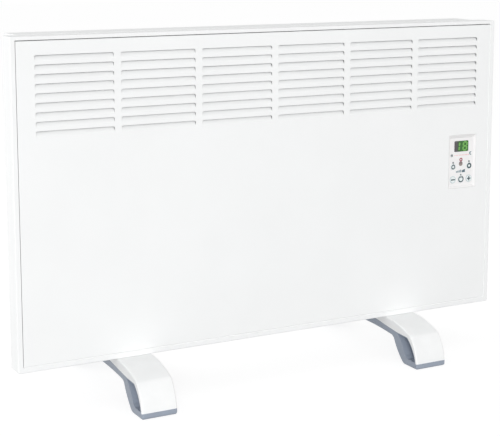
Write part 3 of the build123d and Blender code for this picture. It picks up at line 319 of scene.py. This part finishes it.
def smoked_window(name, dark, glow):
    """Dark window; green light spreads round the digits, up to its frame at the right."""
    material, tree, shader = start_material(name)
    width = WINDOW_HIGH.x - WINDOW_LOW.x
    edges = []
    for start, end in (GLOW_LEFT, GLOW_RIGHT):
        first = WINDOW_LOW.x + start * width
        last = WINDOW_LOW.x + end * width
        edges.append(axis_share(tree, "X", first, last, "SMOOTHSTEP"))
    lit = combine(tree, "MULTIPLY", *edges)
    colour = two_tones(tree, lit, dark, shade(glow, 0.5), 0.0, 1.0)
    tree.links.new(colour, shader.inputs["Base Color"])
    light = two_tones(tree, lit, (0.0, 0.0, 0.0), glow, 0.0, 1.0)
    tree.links.new(light, shader.inputs["Emission Color"])
    shader.inputs["Emission Strength"].default_value = 0.5
    vary_roughness(tree, shader, 0.08, 0.14, 6 * MM)
    shader.inputs["Coat Weight"].default_value = 0.3
    shader.inputs["Coat Roughness"].default_value = 0.05
    return material


def lit_segment(name, colour):
    """Glowing segment, a little brighter in patches; half of its colour is light of its own."""
    material, tree, shader = start_material(name)
    vary_colour(tree, shader, shade(colour, 0.5), 0.05, 2 * MM)
    glow = two_tones(tree, noise(tree, 2 * MM), shade(colour, 0.9), shade(colour, 1.1))
    tree.links.new(glow, shader.inputs["Emission Color"])
    shader.inputs["Emission Strength"].default_value = 0.5
    shader.inputs["Roughness"].default_value = 0.4
    return material


def printed_ink(name, colour):
    """Screen-printed ink with a faint mesh grain."""
    material, tree, shader = start_material(name)
    vary_colour(tree, shader, colour, 0.06, 1.2 * MM)
    vary_roughness(tree, shader, 0.45, 0.6, 0.8 * MM)
    return material


def faded_ink(name, high_colour, low_colour, high, low):
    """Printed ink that fades from one colour at its top to another at its foot."""
    material, tree, shader = start_material(name)
    colour = two_tones(tree, axis_share(tree, "Z", low, high), low_colour, high_colour, 0.0, 1.0)
    tree.links.new(colour, shader.inputs["Base Color"])
    vary_roughness(tree, shader, 0.45, 0.6, 0.8 * MM)
    return material


def dress(material, *nodes):
    """Give CAD nodes a finish."""
    for node in nodes:
        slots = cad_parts[node].data.materials
        slots.clear()
        slots.append(material)


# -------------------------------------------------------------- mesh helpers
def to_face(centre, points):
    """Turn flat (across, up) points into places on a face towards the room."""
    return [Vector((centre.x + across, centre.y, centre.z + up)) for across, up in points]


def add_tile(bm, centre, points, proud):
    """A thin closed tile with the given outline, proud of its face."""
    front = [bm.verts.new(place - Vector((0, proud, 0))) for place in to_face(centre, points)]
    back = [bm.verts.new(place + Vector((0, proud, 0))) for place in to_face(centre, points)]
    bm.faces.new(front)
    bm.faces.new(back[::-1])
    for first in range(len(points)):
        second = (first + 1) % len(points)
        bm.faces.new((front[first], back[first], back[second], front[second]))


def add_band(bm, centre, middle, outer, inner, proud, start=0.0, sweep=2 * math.pi, steps=40):
    """A thin ring, or part of one, proud of its face; angles run from up, turning left."""
    full = abs(sweep - 2 * math.pi) < 1e-6
    count = steps if full else steps + 1
    rows = []
    for step in range(count):
        angle = start + sweep * step / steps
        row = []
        for radius in (inner, outer):
            point = (middle[0] - radius * math.sin(angle), middle[1] + radius * math.cos(angle))
            place = to_face(centre, [point])[0]
            row.append(bm.verts.new(place - Vector((0, proud, 0))))
            row.append(bm.verts.new(place + Vector((0, proud, 0))))
        rows.append(row)
    last = count if full else count - 1
    for step in range(last):
        a = rows[step]
        b = rows[(step + 1) % count]
        for first, second in ((0, 2), (2, 3), (3, 1), (1, 0)):
            bm.faces.new((a[first], a[second], b[second], b[first]))
    if not full:
        bm.faces.new([rows[0][n] for n in (0, 1, 3, 2)])
        bm.faces.new([rows[-1][n] for n in (0, 2, 3, 1)])


def round_outline(middle, radius, steps=28):
    return [(middle[0] + radius * math.cos(2 * math.pi * n / steps),
             middle[1] + radius * math.sin(2 * math.pi * n / steps)) for n in range(steps)]


# A corner's cut stays short of half the side, so that no two points of a bar fall together.
LARGEST_CUT = 0.98


def bar_outline(middle, width, height, turn=0.0, corner=0.0):
    """A bar with cut corners, turned about its middle."""
    half_w = width / 2
    half_h = height / 2
    cut = min(corner, half_w, half_h) * LARGEST_CUT
    inner_w = half_w - cut
    inner_h = half_h - cut
    points = [(inner_w, -half_h), (half_w, -inner_h), (half_w, inner_h), (inner_w, half_h),
              (-inner_w, half_h), (-half_w, inner_h), (-half_w, -inner_h), (-inner_w, -half_h)]
    cos_turn = math.cos(turn)
    sin_turn = math.sin(turn)
    return [(middle[0] + x * cos_turn - z * sin_turn,
             middle[1] + x * sin_turn + z * cos_turn) for x, z in points]


def make_piece(name, bm, material, body):
    """Turn a built mesh into a piece that rides on a body."""
    bmesh.ops.recalc_face_normals(bm, faces=bm.faces[:])
    mesh = bpy.data.meshes.new(name)
    bm.to_mesh(mesh)
    bm.free()
    piece = bpy.data.objects.new(name, mesh)
    bpy.context.scene.collection.objects.link(piece)
    mesh.materials.append(material)
    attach(piece, body)
    return piece


def mesh_islands(node):
    """The separate solids of a CAD node, each as a list of its points."""
    bm = bmesh.new()
    bm.from_mesh(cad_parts[node].data)
    bmesh.ops.remove_doubles(bm, verts=bm.verts[:], dist=WELD)
    left = dict.fromkeys(bm.verts)
    islands = []
    while left:
        stack = [left.popitem()[0]]
        island = []
        while stack:
            vert = stack.pop()
            island.append(vert.co.copy())
            for edge in vert.link_edges:
                other = edge.other_vert(vert)
                if other in left:
                    del left[other]
                    stack.append(other)
        islands.append(island)
    bm.free()
    return islands


def screw_places(node):
    """Each screw of a node: the frame at its head's outer face, its radii and its lengths."""
    places = []
    for points in mesh_islands(node):
        low = Vector([min(point[n] for point in points) for n in range(3)])
        high = Vector([max(point[n] for point in points) for n in range(3)])
        size = high - low
        along = max(range(3), key=lambda n: size[n])
        middle = (low + high) / 2
        out = Vector((0, 0, 0))
        out[along] = math.copysign(1.0, middle[along]) if along == 0 else -1.0
        end = middle + out * size[along] / 2
        radii = {}
        for point in points:
            depth = round((end - point).dot(out), 5)
            radius = (point - middle - out * (point - middle).dot(out)).length
            radii[depth] = max(radii.get(depth, 0.0), radius)
        head = max(radii.values())
        shank = radii[max(radii)]
        head_depth = max(depth for depth, radius in radii.items() if radius > (head + shank) / 2)
        turn = out.to_track_quat("Z", "Y").to_matrix().to_4x4()
        places.append((Matrix.Translation(end) @ turn, head, head_depth, shank, size[along]))
    return sorted(places, key=lambda place: tuple(place[0].translation))


def add_turned(bm, place, profile, steps=32):
    """A closed turned form from (radius, height) points that start and end on its axis."""
    rings = []
    for radius, height in profile:
        if radius == 0:
            rings.append([bm.verts.new(place @ Vector((0, 0, height)))])
            continue
        ring = []
        for n in range(steps):
            angle = 2 * math.pi * n / steps
            point = Vector((radius * math.cos(angle), radius * math.sin(angle), height))
            ring.append(bm.verts.new(place @ point))
        rings.append(ring)
    for first, second in zip(rings, rings[1:]):
        for n in range(steps):
            m = (n + 1) % steps
            corners = [first[n % len(first)], first[m % len(first)],
                       second[m % len(second)], second[n % len(second)]]
            bm.faces.new(list(dict.fromkeys(corners)))


# Proportions of a pan head, as shares of its radius: the rounded edge, how far the crown reaches
# and falls, and how far it has fallen where the edge starts.
HEAD_EDGE = 0.35
CROWN_REACH = 0.45
CROWN_FALL = 0.02
EDGE_FALL = 0.06
EDGE_STEPS = 5
# The cross recess, as shares of the head's radius: an arm's length, half its width and how far
# the cutter stands out. Its depth is a share of the head's, and it tapers from one scale to the other.
CROSS_ARM = 0.55
CROSS_HALF_WIDTH = 0.12
CUTTER_ABOVE = 0.3
CROSS_DEPTH = 0.75
CROSS_SCALES = (1.1, 0.6)
# Edges of a screw that turn by more than this stay sharp.
SHARP_ANGLE = math.radians(35)


def add_screw(screws, recesses, place, head, head_depth, shank, length):
    """A pan head on a plain shank, and the tapered cross that is cut into it."""
    edge = HEAD_EDGE * head
    fall = EDGE_FALL * head + edge
    profile = [(0, 0), (CROWN_REACH * head, -CROWN_FALL * head)]
    for step in range(EDGE_STEPS + 1):
        angle = math.pi / 2 * step / EDGE_STEPS
        profile.append((head - edge + edge * math.sin(angle), edge * math.cos(angle) - fall))
    profile += [(head, -head_depth), (shank, -head_depth), (shank, -length), (0, -length)]
    add_turned(screws, place, profile)
    arm = CROSS_ARM * head
    half = CROSS_HALF_WIDTH * head
    outline = []
    for quarter in range(4):
        cos_turn = round(math.cos(quarter * math.pi / 2))
        sin_turn = round(math.sin(quarter * math.pi / 2))
        for x, y in ((half, half), (arm, half), (arm, -half)):
            outline.append((x * cos_turn - y * sin_turn, x * sin_turn + y * cos_turn))
    rings = []
    for height, scale in zip((CUTTER_ABOVE * head, -CROSS_DEPTH * head_depth), CROSS_SCALES):
        points = [Vector((x * scale, y * scale, height)) for x, y in outline]
        rings.append([recesses.verts.new(place @ point) for point in points])
    recesses.faces.new(rings[0])
    recesses.faces.new(rings[1][::-1])
    for n in range(len(outline)):
        m = (n + 1) % len(outline)
        recesses.faces.new((rings[0][n], rings[1][n], rings[1][m], rings[0][m]))


def cut_mesh(piece, tool_bm):
    """Cut a mesh away from a piece."""
    bmesh.ops.recalc_face_normals(tool_bm, faces=tool_bm.faces[:])
    tool_mesh = bpy.data.meshes.new("cutter")
    tool_bm.to_mesh(tool_mesh)
    tool_bm.free()
    tool = bpy.data.objects.new("cutter", tool_mesh)
    bpy.context.scene.collection.objects.link(tool)
    cut = piece.modifiers.new("cut", "BOOLEAN")
    cut.operation = "DIFFERENCE"
    cut.solver = "MANIFOLD"
    cut.object = tool
    shaped = bpy.data.meshes.new_from_object(piece.evaluated_get(bpy.context.evaluated_depsgraph_get()))
    if len(shaped.polygons) <= len(piece.data.polygons):
        raise RuntimeError("the cut into " + piece.name + " failed")
    piece.modifiers.clear()
    piece.data = shaped
    bpy.data.objects.remove(tool)


# ----------------------------------------------------------------- operators
class HEATER_OT_sheet_metal(bpy.types.Operator):
    """Coat the surround, the front panel and the rear casing"""
    bl_idname = "heater.sheet_metal"
    bl_label = "Sheet metal"

    def execute(self, context):
        colours = context.scene.heater_colours
        coat = powder_coat("white_coat", colours.coat)
        dress(coat, "surround_top", "surround_bottom", "surround_left", "surround_right", "front_panel",
              "casing_side_left", "casing_side_right", "casing_top", "inlet_grille", "back_panel")
        return {"FINISHED"}


class HEATER_OT_feet(bpy.types.Operator):
    """Finish the feet's covers and legs"""
    bl_idname = "heater.feet"
    bl_label = "Feet"

    def execute(self, context):
        colours = context.scene.heater_colours
        dress(moulded_plastic("cover_plastic", colours.cover), "foot_cover_left", "foot_cover_right")
        leg = moulded_plastic("leg_plastic", colours.leg, 0.03, (0.34, 0.44))
        dress(leg, "foot_body_left", "foot_body_right")
        return {"FINISHED"}


class HEATER_OT_control_unit(bpy.types.Operator):
    """Finish the bezel, the key plate, the keys and the display window"""
    bl_idname = "heater.control_unit"
    bl_label = "Control unit"

    def execute(self, context):
        colours = context.scene.heater_colours
        dress(moulded_plastic("control_plastic", colours.moulding), "control_housing", "key_plate")
        keys = moulded_plastic("key_plastic", colours.key, 0.01, (0.3, 0.38))
        dress(keys, *["key_" + key for key in KEYS])
        dress(smoked_window("smoked_window", colours.window, colours.glow), "display_window")
        return {"FINISHED"}


# Each segment of a digit: its side, its level and whether it stands upright.
SEGMENTS = {
    "top": (0, 1, False),
    "upper_left": (-1, 1, True),
    "upper_right": (1, 1, True),
    "middle": (0, 0, False),
    "lower_left": (-1, -1, True),
    "lower_right": (1, -1, True),
    "bottom": (0, -1, False),
}
DIGIT_ONE = ("upper_right", "lower_right")
DIGIT_EIGHT = tuple(SEGMENTS)
DIGIT_ONE_X = -7.2 * MM
DIGIT_EIGHT_X = 6.9 * MM
DIGIT_LEAN = math.tan(math.radians(5))
SEGMENT_GAP = 0.25 * MM


class HEATER_OT_digits(bpy.types.Operator):
    """Light the two digits in the display window"""
    bl_idname = "heater.digits"
    bl_label = "Digits"

    def execute(self, context):
        sizes = context.scene.heater_print
        material = lit_segment("lit_segment", context.scene.heater_colours.digit)
        bm = bmesh.new()
        reach_x = (sizes.digit_width - sizes.segment) / 2
        reach_z = (sizes.digit_height - sizes.segment) / 2
        for offset, lit in ((DIGIT_ONE_X, DIGIT_ONE), (DIGIT_EIGHT_X, DIGIT_EIGHT)):
            for name in lit:
                side, level, upright = SEGMENTS[name]
                half = (reach_z / 2 if upright else reach_x) - SEGMENT_GAP
                middle = (side * reach_x, level * (reach_z / 2 if upright else reach_z))
                tip = sizes.segment / 2
                outline = [(-half, 0), (-half + tip, -tip), (half - tip, -tip), (half, 0),
                           (half - tip, tip), (-half + tip, tip)]
                if upright:
                    outline = [(-z, x) for x, z in outline]
                placed = []
                for x, z in outline:
                    up = middle[1] + z
                    placed.append((offset + middle[0] + x + up * DIGIT_LEAN, up))
                add_tile(bm, WINDOW_MIDDLE, placed, sizes.film)
        make_piece("lit_digits", bm, material, ROOM_BODY)
        return {"FINISHED"}


# How much the corners of a sign's bars are cut.
MARK_CORNER = 0.3 * MM
# The left key's ring lies this far inside the flat face, and its tip fills that space at the top:
# half of the tip's width, and how far its foot lies below the ring's top.
DROP_INSET = 0.5 * MM
TIP_HALF_WIDTH = 2.2 * MM
TIP_OVERLAP = 1.3 * MM
# The width of the right key's ring.
WIDE_RING = 2.4 * MM
# Half of the opening in the power sign's ring, and the width and height of the bar in it.
POWER_GAP = math.radians(22)
POWER_STEM = (1.7 * MM, 3.6 * MM)
# The length of the plus and of the minus sign as shares of the flat face's radius,
# and the width of their bars as a share of the ring line.
PLUS_SHARE = 1.54
MINUS_SHARE = 1.88
BAR_SHARE = 1.1


class HEATER_OT_key_symbols(bpy.types.Operator):
    """Print the signs on the five keys and the rings round two of them"""
    bl_idname = "heater.key_symbols"
    bl_label = "Key symbols"

    def execute(self, context):
        colours = context.scene.heater_colours
        sizes = context.scene.heater_print
        ink = printed_ink("dark_ink", colours.ink)
        pale = printed_ink("pale_ink", colours.pale_ink)
        line = sizes.ring_line
        film = sizes.film
        for key in KEYS:
            low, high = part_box("key_" + key)
            radius = (high.x - low.x) / 2 - KEY_RIM
            face = front_centre("key_" + key)
            bm = bmesh.new()
            if key == "left":
                drop = radius - DROP_INSET
                add_band(bm, face, (0, 0), drop, drop - line, film)
                foot = drop - TIP_OVERLAP
                tip = [(-TIP_HALF_WIDTH, foot), (TIP_HALF_WIDTH, foot), (0, radius)]
                add_tile(bm, face, tip, UPPER_FILM * film)
            elif key == "right":
                add_band(bm, face, (0, 0), radius, radius - WIDE_RING, film)
            elif key == "power":
                sweep = 2 * math.pi - 2 * POWER_GAP
                add_band(bm, face, (0, 0), radius, radius - line, film, POWER_GAP, sweep)
                stem = bar_outline((0, radius - POWER_STEM[1] / 2), *POWER_STEM, 0, MARK_CORNER)
                add_tile(bm, face, stem, film)
            else:
                across = radius * (PLUS_SHARE if key == "plus" else MINUS_SHARE)
                bar = BAR_SHARE * line
                add_tile(bm, face, bar_outline((0, 0), across, bar, 0, MARK_CORNER), film)
                if key == "plus":
                    upright = bar_outline((0, 0), bar, across, 0, MARK_CORNER)
                    add_tile(bm, face, upright, UPPER_FILM * film)
            make_piece("symbol_" + key, bm, ink, "key_" + key)
            if key in ("minus", "plus"):
                rim = bmesh.new()
                middle = (face.x - PLATE_MIDDLE.x, face.z - PLATE_MIDDLE.z)
                inner = radius + PLATE_RING
                add_band(rim, PLATE_MIDDLE, middle, inner + PLATE_RING_LINE, inner, film)
                make_piece("ring_" + key, rim, pale, ROOM_BODY)
        return {"FINISHED"}


# The plate's marks, in millimetres; a place is across and up from the plate's middle.
# The row of ticks: each is a little taller than the one before.
TICKS = 10
TICK_START = (-12.4, 10.6)
TICK_PITCH = 2.9
TICK_HEIGHT = 0.9
TICK_GROWTH = 0.09
# The sun's disc, and its rays with their length and width.
SUN_PLACE = (-18.1, 10.9)
SUN_RADIUS = 1.35
SUN_RAYS = 8
RAY_REACH = 2.1
RAY_SIZE = (1.1, 0.75)
# The crescent: a disc, and the smaller one that is taken out of it, shifted to the right.
MOON_PLACE = (18.4, 12.6)
MOON_RADIUS = 2.9
MOON_BITE = 2.2
MOON_SHIFT = 1.5
MOON_STEPS = 14
# The stems over three keys: each one's lower and upper end, above the middle of its key.
STEMS = (("key_left", 5.05, 8.2), ("key_right", 5.4, 8.4), ("key_power", 5.85, 8.0))
STEM_WIDTH = 2.3
STEM_CORNER = 0.4
# The rising bars, and the wedge beside them by the place and height of its two ends.
RAMP_FOOT = -16.9
RAMP_BARS = 4
RAMP_START = -8.4
RAMP_PITCH = 2.6
RAMP_HEIGHT = 2.6
RAMP_GROWTH = 0.5
WEDGE = ((1.6, 3.0), (8.0, 5.0))
# Ticks and rising bars are equally wide, with the same cut corners.
BAR_WIDTH = 1.7
BAR_CORNER = 0.2
# The padlock: the shackle's outer and inner radius, and the body.
SHACKLE_PLACE = (-0.3, 3.4)
SHACKLE_RADII = (3.0, 1.2)
LOCK_PLACE = (-0.6, -3.1)
LOCK_SIZE = (6.8, 7.0)
LOCK_CORNER = 1.9


def in_metres(*lengths):
    """Lengths given in millimetres."""
    return tuple(length * MM for length in lengths)


class HEATER_OT_plate_marks(bpy.types.Operator):
    """Print the small plain marks on the key plate"""
    bl_idname = "heater.plate_marks"
    bl_label = "Plate marks"

    def execute(self, context):
        colours = context.scene.heater_colours
        film = context.scene.heater_print.film
        dark = printed_ink("plate_ink", colours.ink)
        soft = printed_ink("soft_ink", shade(colours.ink, 2.7))
        warm = printed_ink("warm_ink", colours.warm_ink)
        rose = printed_ink("rose_ink", tone(236, 176, 180))
        centre = PLATE_MIDDLE
        self.draw_sun_and_stems(centre, film, dark)
        self.draw_moon(centre, film, soft)
        self.draw_ramp(centre, film, printed_ink("wedge_ink", shade(colours.ink, 1.8)), soft)
        self.draw_lock(centre, film, warm)
        ticks = bmesh.new()
        for step in range(TICKS):
            place = in_metres(TICK_START[0] + TICK_PITCH * step, TICK_START[1])
            width, height, corner = in_metres(BAR_WIDTH, TICK_HEIGHT + TICK_GROWTH * step, BAR_CORNER)
            add_tile(ticks, centre, bar_outline(place, width, height, 0, corner), film)
        make_piece("scale_ticks", ticks, rose, ROOM_BODY)
        return {"FINISHED"}

    def draw_sun_and_stems(self, centre, film, ink):
        """A sun at the scale's start, and a short stem over three of the keys."""
        bm = bmesh.new()
        sun = in_metres(*SUN_PLACE)
        reach = RAY_REACH * MM
        add_tile(bm, centre, round_outline(sun, SUN_RADIUS * MM), film)
        for turn in range(SUN_RAYS):
            angle = turn * 2 * math.pi / SUN_RAYS
            place = (sun[0] + reach * math.cos(angle), sun[1] + reach * math.sin(angle))
            add_tile(bm, centre, bar_outline(place, *in_metres(*RAY_SIZE), angle), film)
        for key, start, end in STEMS:
            middle = front_centre(key)
            mark = (middle.x - centre.x, middle.z - centre.z + (start + end) / 2 * MM)
            width, height, corner = in_metres(STEM_WIDTH, end - start, STEM_CORNER)
            add_tile(bm, centre, bar_outline(mark, width, height, 0, corner), film)
        make_piece("plate_marks", bm, ink, ROOM_BODY)

    def draw_moon(self, centre, film, ink):
        """A crescent at the scale's end."""
        bm = bmesh.new()
        moon = in_metres(*MOON_PLACE)
        radius, bite, shift = in_metres(MOON_RADIUS, MOON_BITE, MOON_SHIFT)
        meet = math.acos((radius ** 2 + shift ** 2 - bite ** 2) / (2 * radius * shift))
        inner = math.acos((bite ** 2 + shift ** 2 - radius ** 2) / (2 * bite * shift))
        outline = []
        for n in range(MOON_STEPS + 1):
            angle = meet + (2 * math.pi - 2 * meet) * n / MOON_STEPS
            outline.append((moon[0] + radius * math.cos(angle), moon[1] + radius * math.sin(angle)))
        for n in range(1, MOON_STEPS):
            angle = math.pi + inner - 2 * inner * n / MOON_STEPS
            outline.append((moon[0] + shift + bite * math.cos(angle), moon[1] + bite * math.sin(angle)))
        add_tile(bm, centre, outline, film)
        make_piece("moon_mark", bm, ink, ROOM_BODY)

    def draw_ramp(self, centre, film, dark, soft):
        """Four pale bars that grow towards a dark wedge, over the middle key."""
        pale = bmesh.new()
        for step in range(RAMP_BARS):
            width, height, corner = in_metres(BAR_WIDTH, RAMP_HEIGHT + RAMP_GROWTH * step, BAR_CORNER)
            middle = ((RAMP_START + RAMP_PITCH * step) * MM, RAMP_FOOT * MM + height / 2)
            add_tile(pale, centre, bar_outline(middle, width, height, 0, corner), film)
        make_piece("ramp_bars", pale, soft, ROOM_BODY)
        wedge = bmesh.new()
        (left, low_end), (right, high_end) = WEDGE
        corners = [(left, 0.0), (right, 0.0), (right, high_end), (left, low_end)]
        add_tile(wedge, centre, [in_metres(x, RAMP_FOOT + up) for x, up in corners], film)
        make_piece("ramp_wedge", wedge, dark, ROOM_BODY)

    def draw_lock(self, centre, film, warm):
        """A padlock between the window and the keys."""
        shackle = bmesh.new()
        add_band(shackle, centre, in_metres(*SHACKLE_PLACE), *in_metres(*SHACKLE_RADII), film)
        make_piece("lock_shackle", shackle, warm, ROOM_BODY)
        middle = in_metres(*LOCK_PLACE)
        width, height, corner = in_metres(*LOCK_SIZE, LOCK_CORNER)
        high = centre.z + middle[1] + height / 2
        fade = faded_ink("lock_ink", tone(104, 84, 90), tone(168, 160, 152), high, high - height)
        body = bmesh.new()
        add_tile(body, centre, bar_outline(middle, width, height, 0, corner), film)
        make_piece("lock_body", body, fade, ROOM_BODY)


class HEATER_OT_back_fittings(bpy.types.Operator):
    """Finish the black fittings and the zinc-plated parts, at the back and inside"""
    bl_idname = "heater.back_fittings"
    bl_label = "Back fittings"

    def execute(self, context):
        black = moulded_plastic("black_plastic", tone(40, 41, 43), 0.08, (0.4, 0.5))
        steel = plated_steel("zinc_steel", tone(196, 198, 200))
        dress(black, "cord_gland", "gland_nut", "relay", "capacitor", "key_switches",
              "housing_cover", "board_connector")
        dress(steel, "wall_inserts", "flange_screws", "corner_angles", "panel_clips",
              "element_brackets", "heat_shield", "compartment_wall", "board_posts",
              "room_sensor", "thermal_cutout")
        return {"FINISHED"}


class HEATER_OT_screws(bpy.types.Operator):
    """Give the outer screws rounded heads with a cross recess"""
    bl_idname = "heater.screws"
    bl_label = "Screws"

    def execute(self, context):
        steel = plated_steel("screw_steel", tone(204, 206, 208))
        for node in ("casing_screws", "foot_screws"):
            screws = bmesh.new()
            recesses = bmesh.new()
            for place in screw_places(node):
                add_screw(screws, recesses, *place)
            piece = make_piece(node + "_cross", screws, steel, ROOM_BODY)
            cut_mesh(piece, recesses)
            piece.data.shade_smooth()
            piece.data.set_sharp_from_angle(angle=SHARP_ANGLE)
            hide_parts(node)
        return {"FINISHED"}


class HEATER_OT_inner_parts(bpy.types.Operator):
    """Finish the rest of what lies inside the casing"""
    bl_idname = "heater.inner_parts"
    bl_label = "Inner parts"

    def execute(self, context):
        dress(drawn_metal("fin_aluminium", tone(214, 216, 218)), "element_fins")
        dress(drawn_metal("sheath_steel", tone(170, 160, 150), (0.3, 0.45)), "element_rod")
        bushes = moulded_plastic("bush_ceramic", tone(236, 232, 222), 0.03, (0.6, 0.75))
        dress(bushes, "element_bushes")
        dress(board_mask("board_mask", tone(36, 104, 60)), "control_board", "power_board")
        cream = moulded_plastic("cream_plastic", tone(232, 226, 208), 0.02)
        dress(cream, "terminal_block", "sensor_clip")
        dress(moulded_plastic("ribbon_plastic", tone(168, 170, 174), 0.05), "ribbon_cable")
        dress(moulded_plastic("module_plastic", tone(30, 34, 32), 0.08), "display_module")
        plungers = moulded_plastic("plunger_plastic", tone(48, 48, 50), 0.06)
        dress(plungers, *["plunger_" + key for key in KEYS])
        brown = moulded_plastic("brown_wire", tone(120, 74, 48), 0.06, (0.45, 0.6))
        dress(brown, "wire_supply", "wire_heater_live", "wire_element_live")
        blue = moulded_plastic("blue_wire", tone(52, 96, 176), 0.06, (0.45, 0.6))
        dress(blue, "wire_element_neutral")
        return {"FINISHED"}


# The width of the camera's film in millimetres.
FILM_WIDTH = 36.0
# Each lamp's place and width in metres.
KEY_LAMP = ((-4.5, -8.8, 2.0), 4.0)
FILL_LAMP = ((-1.7, 1.0, 0.9), 1.0)
# Half of the floor's width in metres.
FLOOR_HALF = 12.0
# What the camera sees of the floor: a little of the light on it, so that the shadow stays, and a glow.
FLOOR_SHOWN = (0.22, 0.22, 0.22, 1.0)
FLOOR_GLOW = 0.86


class HEATER_OT_studio(bpy.types.Operator):
    """Set the camera, the pale floor and the soft light"""
    bl_idname = "heater.studio"
    bl_label = "Studio"

    def execute(self, context):
        studio = context.scene.heater_studio
        self.set_camera(context, studio)
        self.set_sky(context, studio)
        self.add_lamp(context, "key_lamp", *KEY_LAMP, studio.key_power)
        self.add_lamp(context, "fill_lamp", *FILL_LAMP, studio.fill_power)
        self.set_floor(context)
        context.scene.view_settings.view_transform = "Standard"
        return {"FINISHED"}

    def set_camera(self, context, studio):
        data = bpy.data.cameras.new("camera")
        data.sensor_width = FILM_WIDTH
        data.lens = studio.camera_lens
        data.shift_y = studio.camera_shift
        camera = bpy.data.objects.new("camera", data)
        camera.location = studio.camera_place
        camera.rotation_euler = Euler((math.pi / 2 - studio.camera_pitch, 0.0, -studio.camera_yaw))
        context.scene.collection.objects.link(camera)
        context.scene.camera = camera

    def seen_directly(self, tree):
        """1 for rays from the camera and for what metal and glass show of the background."""
        rays = tree.nodes.new("ShaderNodeLightPath").outputs
        either = combine(tree, "MAXIMUM", rays["Is Camera Ray"], rays["Is Glossy Ray"])
        return combine(tree, "MAXIMUM", either, rays["Is Transmission Ray"])

    def set_sky(self, context, studio):
        world = bpy.data.worlds.new("sky")
        world.use_nodes = True
        context.scene.world = world
        tree = world.node_tree
        even = tree.nodes["Background"]
        even.inputs["Color"].default_value = WHITE
        even.inputs["Strength"].default_value = studio.sky
        white = tree.nodes.new("ShaderNodeBackground")
        white.inputs["Color"].default_value = WHITE
        white.inputs["Strength"].default_value = 1.0
        mix = tree.nodes.new("ShaderNodeMixShader")
        tree.links.new(self.seen_directly(tree), mix.inputs["Fac"])
        tree.links.new(even.outputs["Background"], mix.inputs[1])
        tree.links.new(white.outputs["Background"], mix.inputs[2])
        tree.links.new(mix.outputs["Shader"], tree.nodes["World Output"].inputs["Surface"])

    def add_lamp(self, context, name, place, size, power):
        data = bpy.data.lights.new(name, "AREA")
        data.shape = "DISK"
        data.size = size
        data.energy = power
        lamp = bpy.data.objects.new(name, data)
        lamp.location = place
        towards = Vector((0.0, 0.0, CAD_BOX[1][2] / 2)) - lamp.location
        lamp.rotation_euler = towards.to_track_quat("-Z", "Y").to_euler()
        context.scene.collection.objects.link(lamp)

    def set_floor(self, context):
        """A pale floor that keeps the object's shadow."""
        bm = bmesh.new()
        bmesh.ops.create_grid(bm, x_segments=8, y_segments=8, size=FLOOR_HALF)
        mesh = bpy.data.meshes.new("floor")
        bm.to_mesh(mesh)
        bm.free()
        floor = bpy.data.objects.new("floor", mesh)
        context.scene.collection.objects.link(floor)
        material, tree, shader = start_material("floor_paper")
        vary_colour(tree, shader, tone(188, 188, 188), 0.01, 0.5)
        shader.inputs["Roughness"].default_value = 0.9
        shader.inputs["Specular IOR Level"].default_value = 0.0
        shown = tree.nodes.new("ShaderNodeBsdfDiffuse")
        shown.inputs["Color"].default_value = FLOOR_SHOWN
        glow = tree.nodes.new("ShaderNodeEmission")
        glow.inputs["Strength"].default_value = FLOOR_GLOW
        both = tree.nodes.new("ShaderNodeAddShader")
        tree.links.new(shown.outputs["BSDF"], both.inputs[0])
        tree.links.new(glow.outputs["Emission"], both.inputs[1])
        mix = tree.nodes.new("ShaderNodeMixShader")
        tree.links.new(self.seen_directly(tree), mix.inputs["Fac"])
        tree.links.new(shader.outputs["BSDF"], mix.inputs[1])
        tree.links.new(both.outputs["Shader"], mix.inputs[2])
        tree.links.new(mix.outputs["Shader"], tree.nodes["Material Output"].inputs["Surface"])
        mesh.materials.append(material)


STEPS = (
    HEATER_OT_studio,
    HEATER_OT_sheet_metal,
    HEATER_OT_feet,
    HEATER_OT_control_unit,
    HEATER_OT_digits,
    HEATER_OT_key_symbols,
    HEATER_OT_plate_marks,
    HEATER_OT_back_fittings,
    HEATER_OT_screws,
    HEATER_OT_inner_parts,
)
GROUPS = {
    "heater_colours": HeaterColours,
    "heater_print": HeaterPrint,
    "heater_studio": HeaterStudio,
}


class HEATER_PT_sidebar(bpy.types.Panel):
    """The heater's steps and settings"""
    bl_idname = "HEATER_PT_sidebar"
    bl_label = "Heater"
    bl_space_type = "VIEW_3D"
    bl_region_type = "UI"
    bl_category = "Heater"

    def draw(self, context):
        for step in STEPS:
            self.layout.operator(step.bl_idname)
        for name, group in GROUPS.items():
            settings = getattr(context.scene, name)
            for setting in group.__annotations__:
                self.layout.prop(settings, setting)


def register():
    for name, group in GROUPS.items():
        bpy.utils.register_class(group)
        setattr(bpy.types.Scene, name, PointerProperty(type=group))
    for step in STEPS:
        bpy.utils.register_class(step)
    bpy.utils.register_class(HEATER_PT_sidebar)


def unregister():
    bpy.utils.unregister_class(HEATER_PT_sidebar)
    for step in reversed(STEPS):
        bpy.utils.unregister_class(step)
    for name, group in GROUPS.items():
        delattr(bpy.types.Scene, name)
        bpy.utils.unregister_class(group)


def main():
    register()
    bpy.ops.heater.studio()
    bpy.ops.heater.sheet_metal()
    bpy.ops.heater.feet()
    bpy.ops.heater.control_unit()
    bpy.ops.heater.digits()
    bpy.ops.heater.key_symbols()
    bpy.ops.heater.plate_marks()
    bpy.ops.heater.back_fittings()
    bpy.ops.heater.screws()
    bpy.ops.heater.inner_parts()


if __name__ == "__main__":
    main()
